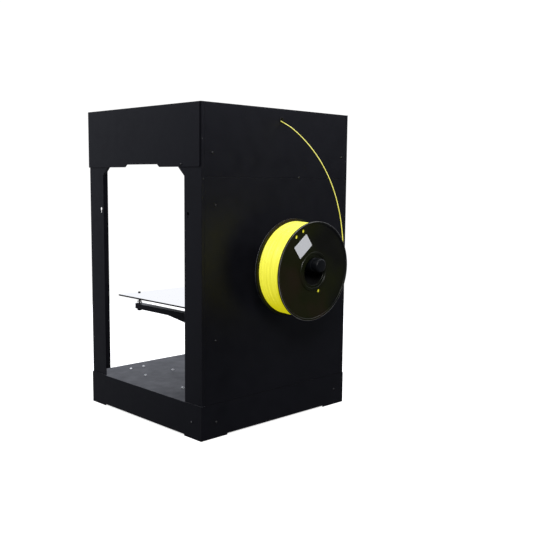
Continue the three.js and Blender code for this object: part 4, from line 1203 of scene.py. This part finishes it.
def display():
    """Dark window with a thin raised frame round it."""
    refined("display_module", 0.0004, 2)
    low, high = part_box("display_module")
    face = TRAY_LOW.y
    reach, rim = 3.2 * MM, 2.4 * MM
    front, back = face - 1.3 * MM, face - 0.02 * MM
    x0, x1, z0, z1 = low.x - reach, high.x + reach, low.z - reach, high.z + reach
    bm = bmesh.new()
    inset = reach + rim
    outer, inner = (
        [(x0 + d, z0 + d), (x1 - d, z0 + d), (x1 - d, z1 - d), (x0 + d, z1 - d)] for d in (0, inset)
    )
    rings = [[bm.verts.new((x, y, z)) for x, z in shape]
             for shape, y in ((outer, back), (outer, front), (inner, front), (inner, back))]
    skin(bm, rings, closed=True)
    corners = [e for e in bm.edges if abs(e.verts[0].co.x - e.verts[1].co.x) < 1e-6
               and abs(e.verts[0].co.z - e.verts[1].co.z) < 1e-6]
    bmesh.ops.bevel(bm, geom=corners, offset=1.8 * MM, segments=5, profile=0.5, affect="EDGES",
                    clamp_overlap=True)
    bevel_sharp(bm, 0.0003, 2, 50)
    from_bmesh("display_frame", bm, "dark_plastic", "cabinet", flats=True)


def mains_inlet():
    refined("power_inlet", 0.0004, 2)
    refined("power_switch", 0.0006, 2)
    low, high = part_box("power_inlet")
    places = [Vector((-SIDE, y, (low.z + high.z) / 2)) for y in (low.y - 5 * MM, high.y + 5 * MM)]
    screw_heads("inlet_screws", places, -X, "screw_black", "cabinet")


def board_details():
    """Terminals and capacitors on the control board."""
    refined("control_board", 0.0003, 1)
    top = 11.6
    terminals = [(at(14 + 14 * k, 14, top), at(25 + 14 * k, 23, top + 9)) for k in range(5)]
    boxes("board_terminals", terminals, "dark_plastic", "cabinet", 0.0004)
    bm = bmesh.new()
    for x, y in ((112, -20), (112, -8), (124, -14)):
        add_turned(bm, [(0, 0), (4, 0), (4, 10), (3.6, 10.4), (0, 10.4)], at(x, y, top), Z, 32)
    from_bmesh("board_capacitors", bm, "aluminium", "cabinet")


control_knob()
display()
mains_inlet()
board_details()
refined("power_supply", 0.0008, 2)

# ------------------------------------------------------------------ finishes of the carried-over nodes

for row in frame["record"]["subparts"]:
    carried = NODES[row["node"]]
    carried.data.materials.clear()
    carried.data.materials.append(MATERIALS[row["material_slot"]])

# ------------------------------------------------------------------ floor and light


def make_floor():
    bm = bmesh.new()
    bmesh.ops.create_circle(bm, cap_ends=True, radius=1.6, segments=96)
    data = bpy.data.meshes.new("floor")
    bm.to_mesh(data)
    bm.free()
    floor = bpy.data.objects.new("floor", data)
    floor.location = (0, 0, -0.0005)
    bpy.context.scene.collection.objects.link(floor)
    s = Shader("floor_pale", (0.85, 0.85, 0.85), 0.8, specular=0.1)
    s.vary_color(s.noise(2, 3), 0.985, 1.0)
    s.set(Emission_Color=(1, 1, 1, 1), Emission_Strength=0.72)
    data.materials.append(s.material)
    floor.visible_glossy = False
    floor.visible_diffuse = False


def area_light(name, place, target, size, power):
    data = bpy.data.lights.new(name, "AREA")
    data.shape = "RECTANGLE"
    data.size = data.size_y = size
    data.energy = power
    light = bpy.data.objects.new(name, data)
    light.location = place
    light.rotation_euler = (Vector(target) - Vector(place)).to_track_quat("-Z", "Y").to_euler()
    light.visible_camera = False
    bpy.context.scene.collection.objects.link(light)


BACKDROP = Vector((-0.60, -0.68, 0.42))    # direction of the bright backdrop behind the object


def make_world():
    """White sweep behind the object; the side behind the viewer is dim, as in a studio."""
    world = bpy.data.worlds.new("studio")
    bpy.context.scene.world = world
    world.use_nodes = True
    tree = world.node_tree
    tree.nodes.clear()

    def background(color):
        made = tree.nodes.new("ShaderNodeBackground")
        made.inputs["Color"].default_value = (*color, 1)
        return made

    output = tree.nodes.new("ShaderNodeOutputWorld")
    mix = tree.nodes.new("ShaderNodeMixShader")
    path = tree.nodes.new("ShaderNodeLightPath")
    shown = background((1, 1, 1))
    shown.inputs["Strength"].default_value = 1.05
    lit = background((0.89, 0.92, 1.0))
    direction = tree.nodes.new("ShaderNodeTexCoord")
    facing = tree.nodes.new("ShaderNodeVectorMath")
    facing.operation = "DOT_PRODUCT"
    facing.inputs[1].default_value = BACKDROP
    tree.links.new(direction.outputs["Generated"], facing.inputs[0])
    strength = tree.nodes.new("ShaderNodeMapRange")
    strength.interpolation_type = "SMOOTHSTEP"
    for key, number in (("From Min", 0.12), ("From Max", 0.74), ("To Min", 0.05), ("To Max", 1.08)):
        strength.inputs[key].default_value = number
    tree.links.new(facing.outputs["Value"], strength.inputs["Value"])
    tree.links.new(strength.outputs["Result"], lit.inputs["Strength"])
    tree.links.new(path.outputs["Is Camera Ray"], mix.inputs["Fac"])
    tree.links.new(lit.outputs["Background"], mix.inputs[1])
    tree.links.new(shown.outputs["Background"], mix.inputs[2])
    tree.links.new(mix.outputs["Shader"], output.inputs["Surface"])


make_floor()
make_world()
area_light("key", (1.9, 2.3, 1.9), (0, 0.25, 0.5), 1.0, 66)
area_light("side_fill", (0.95, -0.9, 1.35), (0.2, 0, 0.7), 0.5, 1.2)
area_light("rear_fill", (-1.1, 1.3, 1.5), (0, 0.2, 0.65), 0.6, 4.4)
area_light("overhead", (0, -0.3, 3), (0, 0, 0), 2.0, 34)
bpy.context.scene.view_settings.view_transform = "Standard"
